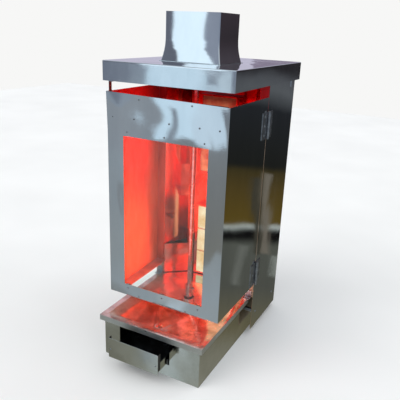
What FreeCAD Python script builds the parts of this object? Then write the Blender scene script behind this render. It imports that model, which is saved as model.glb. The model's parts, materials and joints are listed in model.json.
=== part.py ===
"""Vertical rotisserie broiler with two stacked gas burners, as a parametric document.

Frame: millimetres, +Z up, +Y to the rear, +X to the right of a person facing the window.
The origin is on the floor, at the centre of the footprint of everything, drawer and knobs included.
"""
import FreeCAD
import os
import re

import Part
import Sketcher
from FreeCAD import Placement, Rotation, Vector

DIMENSIONS = {
    # sheet metal
    "gauge": 1.2,
    # base cabinet
    "base_half": 187.0, "base_front": -304.0, "base_rear": 326.8, "base_high": 155.8,
    "bay_left": -124.0, "bay_right": 76.0, "bay_low": 45.0, "bay_top": 126.0,
    # drip pan: rim, down-turned lip and funnel
    "rim_half": 199.0, "rim_front": -316.0, "rim_rear": 62.0, "rim_top": 157.0, "lip_drop": 20.0,
    "funnel_half": 172.0, "funnel_front": -288.0, "funnel_rear": 40.0, "funnel_low": 112.0,
    "drain_x": -24.0, "drain_y": -214.0, "drain_half": 15.0, "collar_radius": 22.0, "collar_top": 152.0,
    "notch_x": -11.0, "notch_side": 6.0,
    # grease drawer, drawn a little way out
    "plate_front": -371.0, "plate_left": -121.0, "plate_right": 73.0,
    "plate_low": 48.0, "plate_top": 122.0, "return_deep": 14.0, "return_start": 12.0,
    "tray_left": -115.0, "tray_right": 67.0, "tray_rear": -150.0, "tray_low": 50.0, "tray_high": 30.0,
    "drawer_screw": 2.6,
    "runner_gap": 0.8, "runner_ledge": 12.0, "runner_rear": -90.0,
    # spit and its drive
    "spit_y": -40.0, "shaft_radius": 5.0, "rod_radius": 8.0, "rod_low": 168.0, "rod_top": 925.0,
    "socket_radius": 14.0, "socket_low": 158.0, "socket_top": 205.0,
    "bracket_half": 60.0, "bracket_top": 86.0, "bracket_deep": 30.0, "gearbox_radius": 30.0,
    "gearbox_high": 40.0, "motor_radius": 24.0, "motor_low": 8.0,
    "bearing_radius": 13.0, "bearing_high": 14.0, "running_gap": 0.05, "clamp_radius": 5.0, "clamp_high": 6.0,
    "bridge_low": 942.0, "bridge_thick": 3.0, "bridge_half": 15.0,
    "pin_radius": 4.0, "pin_top": 958.0, "bush_radius": 10.0, "bush_high": 16.0,
    # burner column
    "column_half": 212.0, "column_front": 69.0, "column_rear": 328.0, "column_low": 20.0,
    "flange": 32.0, "flange_low": 158.6,
    "foot_long": 46.0, "foot_wide": 24.0, "foot_thick": 2.4, "foot_rise": 28.0,
    "spacer_radius": 8.0, "spacer_high": 80.0, "spacer_inset": 40.0,
    "vent_long": 120.0, "vent_high": 6.0, "spindle_hole": 12.0, "inlet_hole": 22.0,
    # reflectors
    "splay_y": 170.0, "splay_half": 130.0, "splay_low": 285.0, "splay_top": 935.0,
    "low_splay_half": 96.0, "low_splay_y": 136.0, "low_splay_low": 160.0,
    # burners
    "tile_wide": 132.0, "tile_high": 92.0, "tile_deep": 13.0, "tile_gap": 3.0, "tile_front": 139.0,
    "burner_half": 78.0, "burner_rim": 6.0, "burner_rear": 178.0,
    "burner_low": 166.0, "burner_high": 592.0, "bezel_proud": 1.5, "bezel_lap": 4.0, "bezel_gap": 0.3,
    # gas train
    "venturi_y": 212.0, "venturi_radius": 13.0, "venturi_wall": 1.5, "venturi_drop": 90.0,
    "bell_radius": 20.0, "bell_high": 18.0, "branch_radius": 5.0, "manifold_y": 262.0, "manifold_radius": 8.5,
    "valve_low": 262.0, "valve_high": 560.0, "valve_radius": 12.0, "spindle_radius": 3.5,
    "inlet_high": 180.0, "inlet_radius": 8.6, "inlet_out": 30.0,
    "knob_radius": 22.0, "knob_face": 372.2, "knob_deep": 30.0, "knob_bar": 8.0,
    # hood and chimney
    "hood_half": 225.0, "hood_front": -240.0, "hood_rear": 343.0, "hood_low": 941.0, "hood_top": 1002.0,
    "flue_half": 95.0, "flue_front": -84.0, "flue_rear": 59.0, "flue_top": 1152.0,
    "flare_low": 1003.6, "flare_high": 1050.0, "flare_out": 10.0, "collar_high": 1060.0,
    "collar_inset": 2.6, "collar_flange": 14.0,
    # door
    "door_half": 212.0, "door_front": -236.0, "door_rear": 67.0, "door_low": 212.0, "door_top": 900.0,
    "window_half": 151.0, "window_low": 254.0, "window_top": 775.0, "door_return": 15.0,
    "glass_thick": 4.0, "glass_lap": 6.0, "brace_low": 820.0, "brace_high": 24.0, "brace_deep": 12.0,
    "hinge_x": 217.5, "hinge_y": 68.4, "knuckle_radius": 5.0, "hinge_pin_radius": 2.5,
    "leaf_thick": 2.0, "leaf_wide": 38.0, "hinge_high": 90.0, "upper_hinge": 763.0, "lower_hinge": 216.0,
    "catch_wide": 14.0, "catch_top": 939.4, "catch_thick": 1.5,
    # fasteners
    "screw_radius": 4.0, "screw_rise": 2.0, "hinge_screw_rise": 1.2, "rivet_radius": 3.0, "rivet_rise": 1.4,
    # electrical fittings on the rear
    "switch_x": 120.0, "switch_high": 230.0, "fitting_flange": 3.0,
    "rocker_radius": 6.8, "rocker_long": 19.0, "rocker_sunk": 2.0,
}

PAST = 1          # how far a cutter starts outside the sheet that it opens
THROUGH = 5       # how far a cutter passes a wall that it goes through
HEXAGON = 6
HINGE_KNUCKLES = 5
KNUCKLE_GAP = 0.4
TILES = 3
BURNER_TALL = "(3 * tile_high + 2 * tile_gap + 2 * burner_rim)"
JET_LEVELS = [f"({low} + 1.5 * tile_high + tile_gap - venturi_drop - 26)" for low in ("burner_low", "burner_high")]
DOOR_RIVETS = [(-190, 832), (-110, 832), (16, 832), (119, 832), (184, 832)]
GLASS_CLIPS = [(-137, "top"), (0, "top"), (137, "top"), (-137, "low"), (0, "low"), (137, "low")]
VENT_ROWS = 6
VENT_PITCH = 22
VENT_STARTS = (620, 340)
COLUMN_SCREWS = ("column_low + 40", "300", "560", "820")
HINGE_SCREWS = (14, 45, 76)
INLET_PINS = ((-7, -2), (0, 2), (7, -2))

document = FreeCAD.newDocument("broiler")
sheet = document.addObject("Spreadsheet::Sheet", "dims")
for row, (alias, value) in enumerate(DIMENSIONS.items(), start=1):
    sheet.set(f"A{row}", alias)
    sheet.set(f"B{row}", str(value))
    sheet.setAlias(f"B{row}", alias)
document.recompute()

finished = []


def bound(text):
    """An expression whose plain names are read from the spreadsheet."""
    return re.sub(r"[a-z_]{2,}", lambda m: "dims." + m[0] if m[0] in DIMENSIONS else m[0], str(text))


def bind(item, **expressions):
    for name, text in expressions.items():
        item.setExpression(name, bound(text))


def place(item, x=0, y=0, z=0, rotation=None):
    """Puts an object at a bound position, turned by a fixed rotation."""
    if rotation is not None:
        item.Placement = Placement(Vector(), rotation)
    for axis, text in zip("xyz", (x, y, z)):
        item.setExpression("Placement.Base." + axis, bound(text))


def box(low, high, label="block"):
    """An upright box between two corners given as expressions."""
    item = document.addObject("Part::Box", label)
    spans = [f"({top}) - ({bottom})" for bottom, top in zip(low, high)]
    bind(item, Length=spans[0], Width=spans[1], Height=spans[2])
    place(item, *low)
    return item


AXES = {
    "+z": Rotation(),
    "+x": Rotation(Vector(0, 1, 0), 90),
    "+y": Rotation(Vector(1, 0, 0), -90),
}


def cylinder(radius, length, at, axis="+z", label="round"):
    item = document.addObject("Part::Cylinder", label)
    bind(item, Radius=radius, Height=length)
    place(item, *at, rotation=AXES[axis])
    return item


def cone(low_radius, high_radius, length, at, axis="+z", label="taper"):
    item = document.addObject("Part::Cone", label)
    bind(item, Radius1=low_radius, Radius2=high_radius, Height=length)
    place(item, *at, rotation=AXES[axis])
    return item


def prism(radius, length, at, axis="+z", label="hexagon"):
    item = document.addObject("Part::Prism", label)
    item.Polygon = HEXAGON
    bind(item, Circumradius=radius, Height=length)
    place(item, *at, rotation=AXES[axis])
    return item


def frustum(low_z, high_z, low_rect, high_rect, label="frustum"):
    """A tapered rectangular block; each rectangle is (left, right, front, rear)."""
    item = document.addObject("Part::Wedge", label)
    item.Placement = Placement(Vector(), Rotation(Vector(1, 0, 0), 90))
    bind(item, Ymin=low_z, Ymax=high_z,
         Xmin=low_rect[0], Xmax=low_rect[1], Zmin=f"-({low_rect[3]})", Zmax=f"-({low_rect[2]})",
         X2min=high_rect[0], X2max=high_rect[1], Z2min=f"-({high_rect[3]})", Z2max=f"-({high_rect[2]})")
    return item


def cut(base, tools):
    """The base with every tool taken away."""
    item = document.addObject("Part::Cut", "cut")
    item.Base = base
    item.Tool = tools[0] if len(tools) == 1 else fuse(tools)
    return item


def fuse(items):
    item = document.addObject("Part::MultiFuse", "fuse")
    item.Shapes = items
    item.Refine = True
    return item


def group(items):
    """Separate solids that share one node."""
    item = document.addObject("Part::Compound", "set")
    item.Links = items
    return item


def keep(item, label):
    """Names a finished sub-part; its label is its file's name."""
    item.Label = label
    finished.append(item)
    return item


def origin_plane(body, role):
    return next(feature for feature in body.Origin.OriginFeatures if feature.Role == role)


def rectangle(body, role, left, low, wide, high):
    """A constrained rectangle on one of the body's own planes, up and right of its origin."""
    sketch = body.newObject("Sketcher::SketchObject", "outline")
    sketch.AttachmentSupport = (origin_plane(body, role), [""])
    sketch.MapMode = "FlatFace"
    corners = [Vector(10, 10, 0), Vector(20, 10, 0), Vector(20, 20, 0), Vector(10, 20, 0)]
    for index in range(4):
        sketch.addGeometry(Part.LineSegment(corners[index], corners[(index + 1) % 4]), False)
    for index in range(4):
        sketch.addConstraint(Sketcher.Constraint("Coincident", index, 2, (index + 1) % 4, 1))
    for index, direction in enumerate(("Horizontal", "Vertical", "Horizontal", "Vertical")):
        sketch.addConstraint(Sketcher.Constraint(direction, index))
    measures = [
        ("DistanceX", (0, 1, 0, 2), wide), ("DistanceY", (1, 1, 1, 2), high),
        ("DistanceX", (-1, 1, 0, 1), left), ("DistanceY", (-1, 1, 0, 1), low),
    ]
    for kind, geometry, text in measures:
        number = sketch.addConstraint(Sketcher.Constraint(kind, *geometry, 10.0))
        sketch.setExpression(f"Constraints[{number}]", bound(text))
    return sketch


def plate(label, role, at, wide, high, thick, windows=()):
    """A sheet pad with rectangular windows pocketed through it.

    role XZ_Plane: wide along X, high along Z, thick to +Y; YZ_Plane: wide along Y, high along Z, thick to
    +X; XY_Plane: wide along X, high along Y, thick to +Z. Windows are (left, low, wide, high) from the corner.
    """
    body = document.addObject("PartDesign::Body", label)
    facing_back = role == "XZ_Plane"
    pad = body.newObject("PartDesign::Pad", "sheet")
    pad.Profile = rectangle(body, role, "0", "0", wide, high)
    pad.Reversed = facing_back
    bind(pad, Length=thick)
    document.recompute()
    for window in windows:
        solid_volume = body.Shape.Volume
        pocket = body.newObject("PartDesign::Pocket", "window")
        pocket.Profile = rectangle(body, role, *window)
        pocket.Type = "ThroughAll"
        pocket.Reversed = not facing_back
        body.Tip = pocket
        document.recompute()
        assert body.Shape.Volume < solid_volume - 1.0, label
    place(body, *at)
    return body


def turned_body(label, profile, at):
    """A body turned about Z from (radius, height) corners given as expressions."""
    body = document.addObject("PartDesign::Body", label)
    sketch = body.newObject("Sketcher::SketchObject", "profile")
    sketch.AttachmentSupport = (origin_plane(body, "XZ_Plane"), [""])
    sketch.MapMode = "FlatFace"
    values = [tuple(sheet_value(text) for text in corner) for corner in profile]
    count = len(values)
    for index in range(count):
        start, end = values[index], values[(index + 1) % count]
        sketch.addGeometry(Part.LineSegment(Vector(*start, 0), Vector(*end, 0)), False)
    for index in range(count):
        sketch.addConstraint(Sketcher.Constraint("Coincident", index, 2, (index + 1) % count, 1))
    for index, corner in enumerate(profile):
        for kind, text, number in zip(("DistanceX", "DistanceY"), corner, values[index]):
            if number == 0:
                line = -2 if kind == "DistanceX" else -1
                sketch.addConstraint(Sketcher.Constraint("PointOnObject", index, 1, line))
                continue
            added = sketch.addConstraint(Sketcher.Constraint(kind, -1, 1, index, 1, number))
            sketch.setExpression(f"Constraints[{added}]", bound(text))
    turned = body.newObject("PartDesign::Revolution", "turned")
    turned.Profile = sketch
    turned.ReferenceAxis = (sketch, ["V_Axis"])
    turned.Angle = 360
    place(body, *at)
    return body


def sheet_value(text):
    """The present value of an expression, to draw a sketch near its constrained shape."""
    total = 0.0
    for sign, term in re.findall(r"([+-]?)\s*([a-z_0-9.]+)", str(text)):
        number = DIMENSIONS[term] if term in DIMENSIONS else float(term)
        total += -number if sign == "-" else number
    return total


# ---------------------------------------------------------------- base cabinet

def base_shell():
    """Four walls folded from one sheet, with the drawer bay cut in the front wall."""
    walls = box(("-base_half", "base_front", "0"), ("base_half", "base_rear", "base_high"))
    hollow = box(("gauge - base_half", "base_front + gauge", f"-{PAST}"),
                 ("base_half - gauge", "base_rear - gauge", f"base_high + {PAST}"))
    bay = box(("bay_left", f"base_front - {THROUGH}", "bay_low"), ("bay_right", f"base_front + {THROUGH}", "bay_top"))
    return cut(walls, [hollow, bay])


def base_floor():
    return plate("base_floor", "XY_Plane", ("gauge - base_half", "base_front + gauge", "0"),
                 "2 * (base_half - gauge)", "base_rear - base_front - 2 * gauge", "gauge")


def base_deck():
    """Carries the burner column behind the drip pan."""
    return plate("base_deck", "XY_Plane", ("-base_half", "rim_rear + 2", "base_high"),
                 "2 * base_half", "base_rear - rim_rear - 2", "gauge")


def drip_pan():
    """A lift-out pan: lip, flat rim, funnel to an off-centre drain, and a collar round the shaft."""
    drain = ("drain_x - drain_half", "drain_x + drain_half", "drain_y - drain_half", "drain_y + drain_half")
    mouth = ("-funnel_half", "funnel_half", "funnel_front", "funnel_rear")
    outer_drain = ("drain_x - drain_half - gauge", "drain_x + drain_half + gauge",
                   "drain_y - drain_half - gauge", "drain_y + drain_half + gauge")
    outer_mouth = ("-funnel_half - gauge", "funnel_half + gauge", "funnel_front - gauge", "funnel_rear + gauge")
    funnel = frustum("funnel_low - gauge", "rim_top - gauge", outer_drain, outer_mouth)
    hollow = frustum("funnel_low", "rim_top", drain, mouth)
    rim = box(("-rim_half", "rim_front", "rim_top - lip_drop"), ("rim_half", "rim_rear", "rim_top"))
    under = box(("gauge - rim_half", "rim_front + gauge", "rim_top - lip_drop - 1"),
                ("rim_half - gauge", "rim_rear + 1", "rim_top - gauge"))
    notch = box(("notch_x - notch_side / 2", "rim_front - 2", "rim_top - gauge - notch_side"),
                ("notch_x + notch_side / 2", "rim_front + 2", "rim_top - gauge"))
    collar = cylinder("collar_radius", "collar_top - funnel_low - 12", ("0", "spit_y", "funnel_low + 12"))
    collar_bore = cylinder("collar_radius - gauge", "60", ("0", "spit_y", "funnel_low - 5"))
    spout = cylinder("drain_half - 3", "14", ("drain_x", "drain_y", "funnel_low - 8"))
    skin = cut(fuse([funnel, cut(rim, [under])]), [hollow, notch])
    return cut(fuse([skin, collar]), [collar_bore, spout])


def drawer_runners():
    """An angle on each side of the bay, standing on the base floor."""
    runners = []
    for edge, side in (("tray_left - runner_gap", -1), ("tray_right + runner_gap", 1)):
        inner, outer = (edge, edge + " - gauge") if side < 0 else (edge, edge + " + gauge")
        web = sorted_box(inner, outer, side, "gauge", "tray_low + 14")
        tip = f"{edge} + runner_ledge" if side < 0 else f"{edge} - runner_ledge"
        ledge = sorted_box(tip, outer, side, "tray_low - gauge - 0.3", "tray_low - 0.3")
        runners.append(fuse([web, ledge]))
    return group(runners)


def sorted_box(inner, outer, side, low, high):
    left, right = (outer, inner) if side < 0 else (inner, outer)
    return box((left, "base_front + gauge", low), (right, "runner_rear", high))


# ---------------------------------------------------------------- grease drawer

def grease_tray():
    front = "plate_front + gauge"
    outside = box(("tray_left", front, "tray_low"), ("tray_right", "tray_rear", "tray_low + tray_high"))
    inside = box(("tray_left + gauge", front + " + gauge", "tray_low + gauge"),
                 ("tray_right - gauge", "tray_rear - gauge", "tray_low + tray_high + 1"))
    return cut(outside, [inside])


def drawer_front():
    """The face plate, with side returns folded back and a short top return."""
    back = "plate_front + gauge"
    face = box(("plate_left", "plate_front", "plate_low"), ("plate_right", back, "plate_top"))
    rear = back + " + return_deep"
    left = box(("plate_left", back, "plate_low + return_start"), ("plate_left + gauge", rear, "plate_top"))
    right = box(("plate_right - gauge", back, "plate_low + return_start"), ("plate_right", rear, "plate_top"))
    return fuse([face, left, right])


def drawer_screws():
    heads = [cylinder("drawer_screw", "gauge", (spot, "plate_front - gauge", "plate_low + 32"), "+y")
             for spot in ("plate_left + 8", "plate_right - 9")]
    return group(heads)


# ---------------------------------------------------------------- spit and its drive

def motor_bracket():
    """A hat of sheet that holds the gearmotor over the base floor."""
    outside = box(("-bracket_half", "spit_y - bracket_deep", "gauge"),
                  ("bracket_half", "spit_y + bracket_deep", "bracket_top"))
    inside = box(("2 - bracket_half", "spit_y - bracket_deep - 1", "0"),
                 ("bracket_half - 2", "spit_y + bracket_deep + 1", "bracket_top - 2"))
    bore = cylinder("shaft_radius + 2", "20", ("0", "spit_y", "bracket_top - 10"))
    return cut(outside, [inside, bore])


def gearmotor():
    """Motor can below its gearbox, hung under the bracket; the gearbox mouth is open for the shaft."""
    gearbox = cylinder("gearbox_radius", "gearbox_high", ("0", "spit_y", "bracket_top - 2 - gearbox_high"))
    can = cylinder("motor_radius", "bracket_top - 2 - gearbox_high - motor_low", ("0", "spit_y", "motor_low"))
    mouth = cylinder("shaft_radius + running_gap", "20", ("0", "spit_y", "bracket_top - 14"))
    return cut(fuse([gearbox, can]), [mouth])


def lower_bearing():
    ring = cylinder("bearing_radius", "bearing_high", ("0", "spit_y", "bracket_top"))
    bore = cylinder("shaft_radius + running_gap", "40", ("0", "spit_y", "bracket_top - 5"))
    return cut(ring, [bore])


def drive_shaft():
    return cylinder("shaft_radius", "socket_low + 4 - bracket_top + 12", ("0", "spit_y", "bracket_top - 12"))


def spit_socket():
    """Turned cup that couples the shaft to the spit, with a square-headed clamp screw."""
    cup = cylinder("socket_radius", "socket_top - socket_low", ("0", "spit_y", "socket_low"))
    hub = cylinder("shaft_radius", "8", ("0", "spit_y", "socket_low - 4"))
    bore = cylinder("rod_radius", "socket_top - rod_low + 5", ("0", "spit_y", "rod_low"))
    return cut(cup, [hub, bore])


def spit_rod():
    """Round bar with a turned-down top pin."""
    profile = [("0", "0"), ("rod_radius", "0"), ("rod_radius", "rod_top - rod_low"),
               ("pin_radius", "rod_top - rod_low + 6"), ("pin_radius", "pin_top - rod_low"),
               ("0", "pin_top - rod_low")]
    return turned_body("spit_rod", profile, ("0", "spit_y", "rod_low"))


def clamp_screw():
    return prism("clamp_radius", "clamp_high", ("socket_radius + 0.3", "spit_y", "socket_top - 14"), "+x")


def top_bridge():
    """Strap across the hood's mouth, hung from the skirts by turned-up ends."""
    inner = "hood_half - gauge"
    strap = box((f"-({inner})", "spit_y - bridge_half", "bridge_low"),
                (inner, "spit_y + bridge_half", "bridge_low + bridge_thick"))
    ends = [box((left, "spit_y - bridge_half", "bridge_low + bridge_thick"),
                (right, "spit_y + bridge_half", "bridge_low + 22"))
            for left, right in ((f"-({inner})", f"bridge_thick - ({inner})"), (f"{inner} - bridge_thick", inner))]
    hole = cylinder("bush_radius", "20", ("0", "spit_y", "bridge_low - 8"))
    return cut(fuse([strap] + ends), [hole])


def upper_bush():
    """Flanged bush in the bridge that steadies the spit's top pin."""
    barrel = cylinder("bush_radius", "bush_high - bridge_thick - 2", ("0", "spit_y", "bridge_low"))
    flange = cylinder("bush_radius + 5", "2", ("0", "spit_y", "bridge_low + bridge_thick"))
    bore = cylinder("pin_radius + running_gap", "40", ("0", "spit_y", "bridge_low - 10"))
    return cut(fuse([barrel, flange]), [bore])


# ---------------------------------------------------------------- burner column

def column_side(side):
    """A side wall with its front and rear edges folded inwards; it laps outside the base."""
    wall = mirrored_box(side, ("column_half - gauge", "column_front", "column_low"),
                        ("column_half", "column_rear - gauge", "hood_top - gauge"))
    front = mirrored_box(side, ("column_half - flange", "column_front", "flange_low"),
                         ("column_half - gauge", "column_front + gauge", "hood_top - gauge"))
    rear = mirrored_box(side, ("column_half - flange / 2", "column_rear - 2 * gauge", "flange_low"),
                        ("column_half - gauge", "column_rear - gauge", "hood_top - gauge"))
    return fuse([wall, front, rear])


def mirrored_box(side, low, high):
    """A box given for the right-hand side, or its mirror image in X."""
    if side > 0:
        return box(low, high)
    return box((f"-({high[0]})",) + tuple(low[1:]), (f"-({low[0]})",) + tuple(high[1:]))


def column_back():
    """Back panel with vent slots, and holes for the spindles and the gas inlet."""
    wide = "2 * column_half"
    vents = [("column_half - vent_long / 2", f"{start + VENT_PITCH * row}", "vent_long", "vent_high")
             for start in VENT_STARTS for row in range(VENT_ROWS)]
    holes = [("column_half - spindle_hole / 2", f"{level} - column_low - spindle_hole / 2",
              "spindle_hole", "spindle_hole") for level in ("valve_low", "valve_high")]
    inlet = ("column_half - inlet_hole / 2", "inlet_high - column_low - inlet_hole / 2", "inlet_hole", "inlet_hole")
    switch = ("column_half + switch_x - 13", "switch_high - column_low - 10", "26", "20")
    socket = ("column_half - switch_x - 14", "switch_high - column_low - 12", "28", "24")
    return plate("column_back", "XZ_Plane", ("-column_half", "column_rear - gauge", "column_low"),
                 wide, "hood_top - gauge - column_low", "gauge", vents + holes + [inlet, switch, socket])


def column_feet():
    """Angle brackets: two in front of the front flanges, over the pan rim, and two at the rear."""
    feet = []
    for side in (-1, 1):
        inner, outer = "column_half - flange + 2", "column_half - flange + 2 + foot_wide"
        leg = mirrored_box(side, (inner, "column_front - foot_wide", "rim_top"),
                           (outer, "column_front", "rim_top + foot_thick"))
        rise = mirrored_box(side, (inner, "column_front - foot_thick", "rim_top"),
                            (outer, "column_front", "rim_top + foot_rise"))
        feet.append(fuse([leg, rise]))
        rear = "column_rear - 2 * gauge - 1 - foot_wide"
        leg = mirrored_box(side, ("column_half - gauge - foot_long", rear, "rim_top"),
                           ("column_half - gauge", f"{rear} + foot_wide", "rim_top + foot_thick"))
        rise = mirrored_box(side, ("column_half - gauge - foot_thick", rear, "rim_top"),
                            ("column_half - gauge", f"{rear} + foot_wide", "rim_top + foot_rise"))
        feet.append(fuse([leg, rise]))
    return group(feet)


def column_spacers():
    """Round spacers between the base walls and the column sides."""
    spacers = []
    for front in ("column_front + spacer_inset", "column_rear - spacer_inset"):
        for start in ("base_half", "gauge - column_half"):
            spacers.append(cylinder("spacer_radius", "column_half - gauge - base_half",
                                    (start, front, "spacer_high"), "+x"))
    return group(spacers)


def column_screws():
    """Pan heads on the back panel's edges, over the spacers and on the hinges' fixed leaves."""
    heads = hinge_screws(on_door=False)
    for side in ("20 - column_half", "column_half - 20"):
        for level in COLUMN_SCREWS:
            heads.append(cylinder("screw_radius", "screw_rise", (side, "column_rear", level), "+y"))
    for front in ("column_front + spacer_inset", "column_rear - spacer_inset"):
        for start in ("column_half", "-column_half - screw_rise"):
            heads.append(cylinder("screw_radius", "screw_rise", (start, front, "spacer_high"), "+x"))
    return group(heads)


# ---------------------------------------------------------------- reflectors

def splayed_plate(side, near, far, low, high):
    """An upright sheet between two plan points (x, y), given for the right and mirrored for the left."""
    wall = document.addObject("Part::Wedge", "splay")
    bind(wall, Zmin=low, Zmax=high, Z2min=low, Z2max=high, Ymin=near[1], Ymax=far[1])
    if side > 0:
        bind(wall, Xmin=f"{near[0]} - gauge", Xmax=near[0], X2min=f"{far[0]} - gauge", X2max=far[0])
    else:
        bind(wall, Xmin=f"-({near[0]})", Xmax=f"gauge - ({near[0]})",
             X2min=f"-({far[0]})", X2max=f"gauge - ({far[0]})")
    return wall


def side_reflector(side):
    """Splayed sheet beside the burners."""
    near = ("column_half - flange", "column_front + gauge + 0.2")
    far = ("splay_half", "splay_y")
    return splayed_plate(side, near, far, "splay_low", "splay_top")


def low_reflector(side):
    """More steeply splayed sheet below the side reflector, down to the deck."""
    near = ("column_half - flange - 2", "column_front + gauge + 0.2")
    far = ("low_splay_half", "low_splay_y")
    return splayed_plate(side, near, far, "low_splay_low", "splay_low - 1.4")


def reflector_back():
    """Back sheet with an opening for each burner."""
    windows = [("splay_half - burner_half - 0.4", f"{low} - burner_rim - flange_low - 0.4",
                "2 * burner_half + 0.8", f"{BURNER_TALL} + 0.8")
               for low in ("burner_low", "burner_high")]
    return plate("reflector_back", "XZ_Plane", ("-splay_half", "splay_y", "flange_low"),
                 "2 * splay_half", "splay_top - flange_low", "gauge", windows)


# ---------------------------------------------------------------- burners and gas train

def burner_housing(low):
    """Sheet box open to the front, behind the plaques."""
    bottom = f"{low} - burner_rim"
    outside = box(("-burner_half", "tile_front + bezel_lap", bottom),
                  ("burner_half", "burner_rear", f"{bottom} + {BURNER_TALL}"))
    inside = box(("gauge - burner_half", "tile_front", f"{bottom} + gauge"),
                 ("burner_half - gauge", "burner_rear - gauge", f"{bottom} + {BURNER_TALL} - gauge"))
    neck = cylinder("venturi_radius", "20", ("0", "burner_rear - 10", f"{bottom} + {BURNER_TALL} / 2"), "+y")
    return cut(outside, [inside, neck])


def burner_tiles(low):
    """Three ceramic plaques, one above another."""
    tiles = []
    for index in range(TILES):
        bottom = f"{low} + {index} * (tile_high + tile_gap)"
        tiles.append(box(("-tile_wide / 2", "tile_front", bottom),
                         ("tile_wide / 2", "tile_front + tile_deep", f"{bottom} + tile_high")))
    return group(tiles)


def burner_frame(low):
    """Bezel over the plaques' edges, with a bar over each joint."""
    bottom = f"{low} - burner_rim"
    back = "tile_front + bezel_lap"
    sheet_front = box(("-burner_half", "tile_front - bezel_proud", bottom),
                      ("burner_half", back, f"{bottom} + {BURNER_TALL}"))
    windows = []
    for index in range(TILES):
        start = f"{low} + {index} * (tile_high + tile_gap)"
        windows.append(box(("-tile_wide / 2 - bezel_gap", f"tile_front - {THROUGH}", f"{start} - bezel_gap"),
                           ("tile_wide / 2 + bezel_gap", f"tile_front + {THROUGH}", f"{start} + tile_high + bezel_gap")))
    return cut(sheet_front, windows)


def venturi(low):
    """Mixing tube: a neck into the housing, a drop, and a bell over the gas jet."""
    centre = f"({low} + 1.5 * tile_high + tile_gap)"
    foot = f"{centre} - venturi_drop"
    inner = "venturi_radius - venturi_wall"
    outside = fuse([
        cylinder("venturi_radius", "venturi_y - burner_rear", ("0", "burner_rear", centre), "+y"),
        cylinder("venturi_radius", "venturi_drop + venturi_radius", ("0", "venturi_y", foot)),
        cone("bell_radius", "venturi_radius", "bell_high", ("0", "venturi_y", f"{foot} - bell_high")),
    ])
    bore = fuse([
        cylinder(inner, "venturi_y - burner_rear + 2", ("0", "burner_rear - 2", centre), "+y"),
        cylinder(inner, "venturi_drop + venturi_radius - venturi_wall", ("0", "venturi_y", foot)),
        cone("bell_radius - venturi_wall", inner, "bell_high + 0.01", ("0", "venturi_y", f"{foot} - bell_high - 0.01")),
    ])
    return cut(outside, [bore])


def gas_manifold():
    """Upright pipe with a branch forward to each jet."""
    pipes = [cylinder("manifold_radius", f"{JET_LEVELS[1]} + 14 - inlet_high", ("0", "manifold_y", "inlet_high"))]
    for level in JET_LEVELS:
        pipes.append(cylinder("branch_radius", "manifold_y - venturi_y + 8", ("0", "venturi_y - 8", level), "+y"))
    for level in ("valve_low", "valve_high"):
        pipes.append(cylinder("7", "manifold_radius + 2", ("0", "manifold_y", level), "+y"))
    pipes.append(sphere("manifold_radius", ("0", "manifold_y", "inlet_high")))
    return fuse(pipes)


def sphere(radius, at):
    item = document.addObject("Part::Sphere", "ball")
    bind(item, Radius=radius)
    place(item, *at)
    return item


def gas_jets():
    """A brass hexagon nozzle standing on each branch, up into its bell."""
    jets = []
    for level in JET_LEVELS:
        body = prism("6", "7", ("0", "venturi_y", f"{level} + 5.1"))
        tip = cone("4", "2", "6", ("0", "venturi_y", f"{level} + 12.1"))
        jets.append(fuse([body, tip]))
    return group(jets)


def valve(level):
    """Valve body on the back of the manifold."""
    start = "manifold_y + manifold_radius + 2"
    body = cylinder("valve_radius", "24", ("0", start, level), "+y")
    nut = prism("valve_radius + 3", "8", ("0", f"{start} + 10", level), "+y")
    bore = cylinder("spindle_radius + running_gap", "30", ("0", f"{start} + 12", level), "+y")
    return cut(fuse([body, nut]), [bore])


def knob(level):
    """Control knob on its spindle, with three grip ribs and a pointer."""
    back = "knob_face - knob_deep"
    skirt = cone("knob_radius", "knob_radius - 2", "knob_deep - 8", ("0", back, level), "+y")
    grip = cylinder("knob_radius - 7", "8", ("0", "knob_face - 8", level), "+y")
    bar = box(("-knob_bar / 2", "knob_face - 12", f"{level} - knob_radius + 4"),
              ("knob_bar / 2", "knob_face", f"{level} + knob_radius - 4"))
    spindle = cylinder("spindle_radius", "knob_face - knob_deep - manifold_y - manifold_radius - 16 + 2",
                       ("0", "manifold_y + manifold_radius + 16", level), "+y")
    return fuse([skirt, grip, bar, spindle])


def gas_inlet():
    """Nipple from the manifold's foot out through the back, with its lock nut."""
    nipple = cylinder("inlet_radius", "column_rear + inlet_out - manifold_y - manifold_radius",
                      ("0", "manifold_y + manifold_radius", "inlet_high"), "+y")
    nut = prism("15", "7", ("0", "column_rear", "inlet_high"), "+y")
    bore = cylinder("inlet_radius - 2.3", "200", ("0", "manifold_y + manifold_radius + 2", "inlet_high"), "+y")
    return cut(fuse([nipple, nut]), [bore])


# ---------------------------------------------------------------- hood and chimney

def hood_shell():
    """Top sheet with four skirts, open below and pierced for the flue."""
    outside = box(("-hood_half", "hood_front", "hood_low"), ("hood_half", "hood_rear", "hood_top"))
    inside = box(("gauge - hood_half", "hood_front + gauge", "hood_low - 1"),
                 ("hood_half - gauge", "hood_rear - gauge", "hood_top - gauge"))
    flue = box(("collar_inset + gauge - flue_half", "flue_front + collar_inset + gauge", "hood_top - 10"),
               ("flue_half - collar_inset - gauge", "flue_rear - collar_inset - gauge", "hood_top + 10"))
    return cut(outside, [inside, flue])


def hood_gussets():
    """Plates from the column sides up into the hood's skirts."""
    gussets = []
    for side in (-1, 1):
        gussets.append(mirrored_box(side, ("column_half", "column_rear - 44", "hood_low - 24"),
                                    ("column_half + 2", "column_rear - 10", "hood_top - gauge - 6")))
    return group(gussets)


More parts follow.
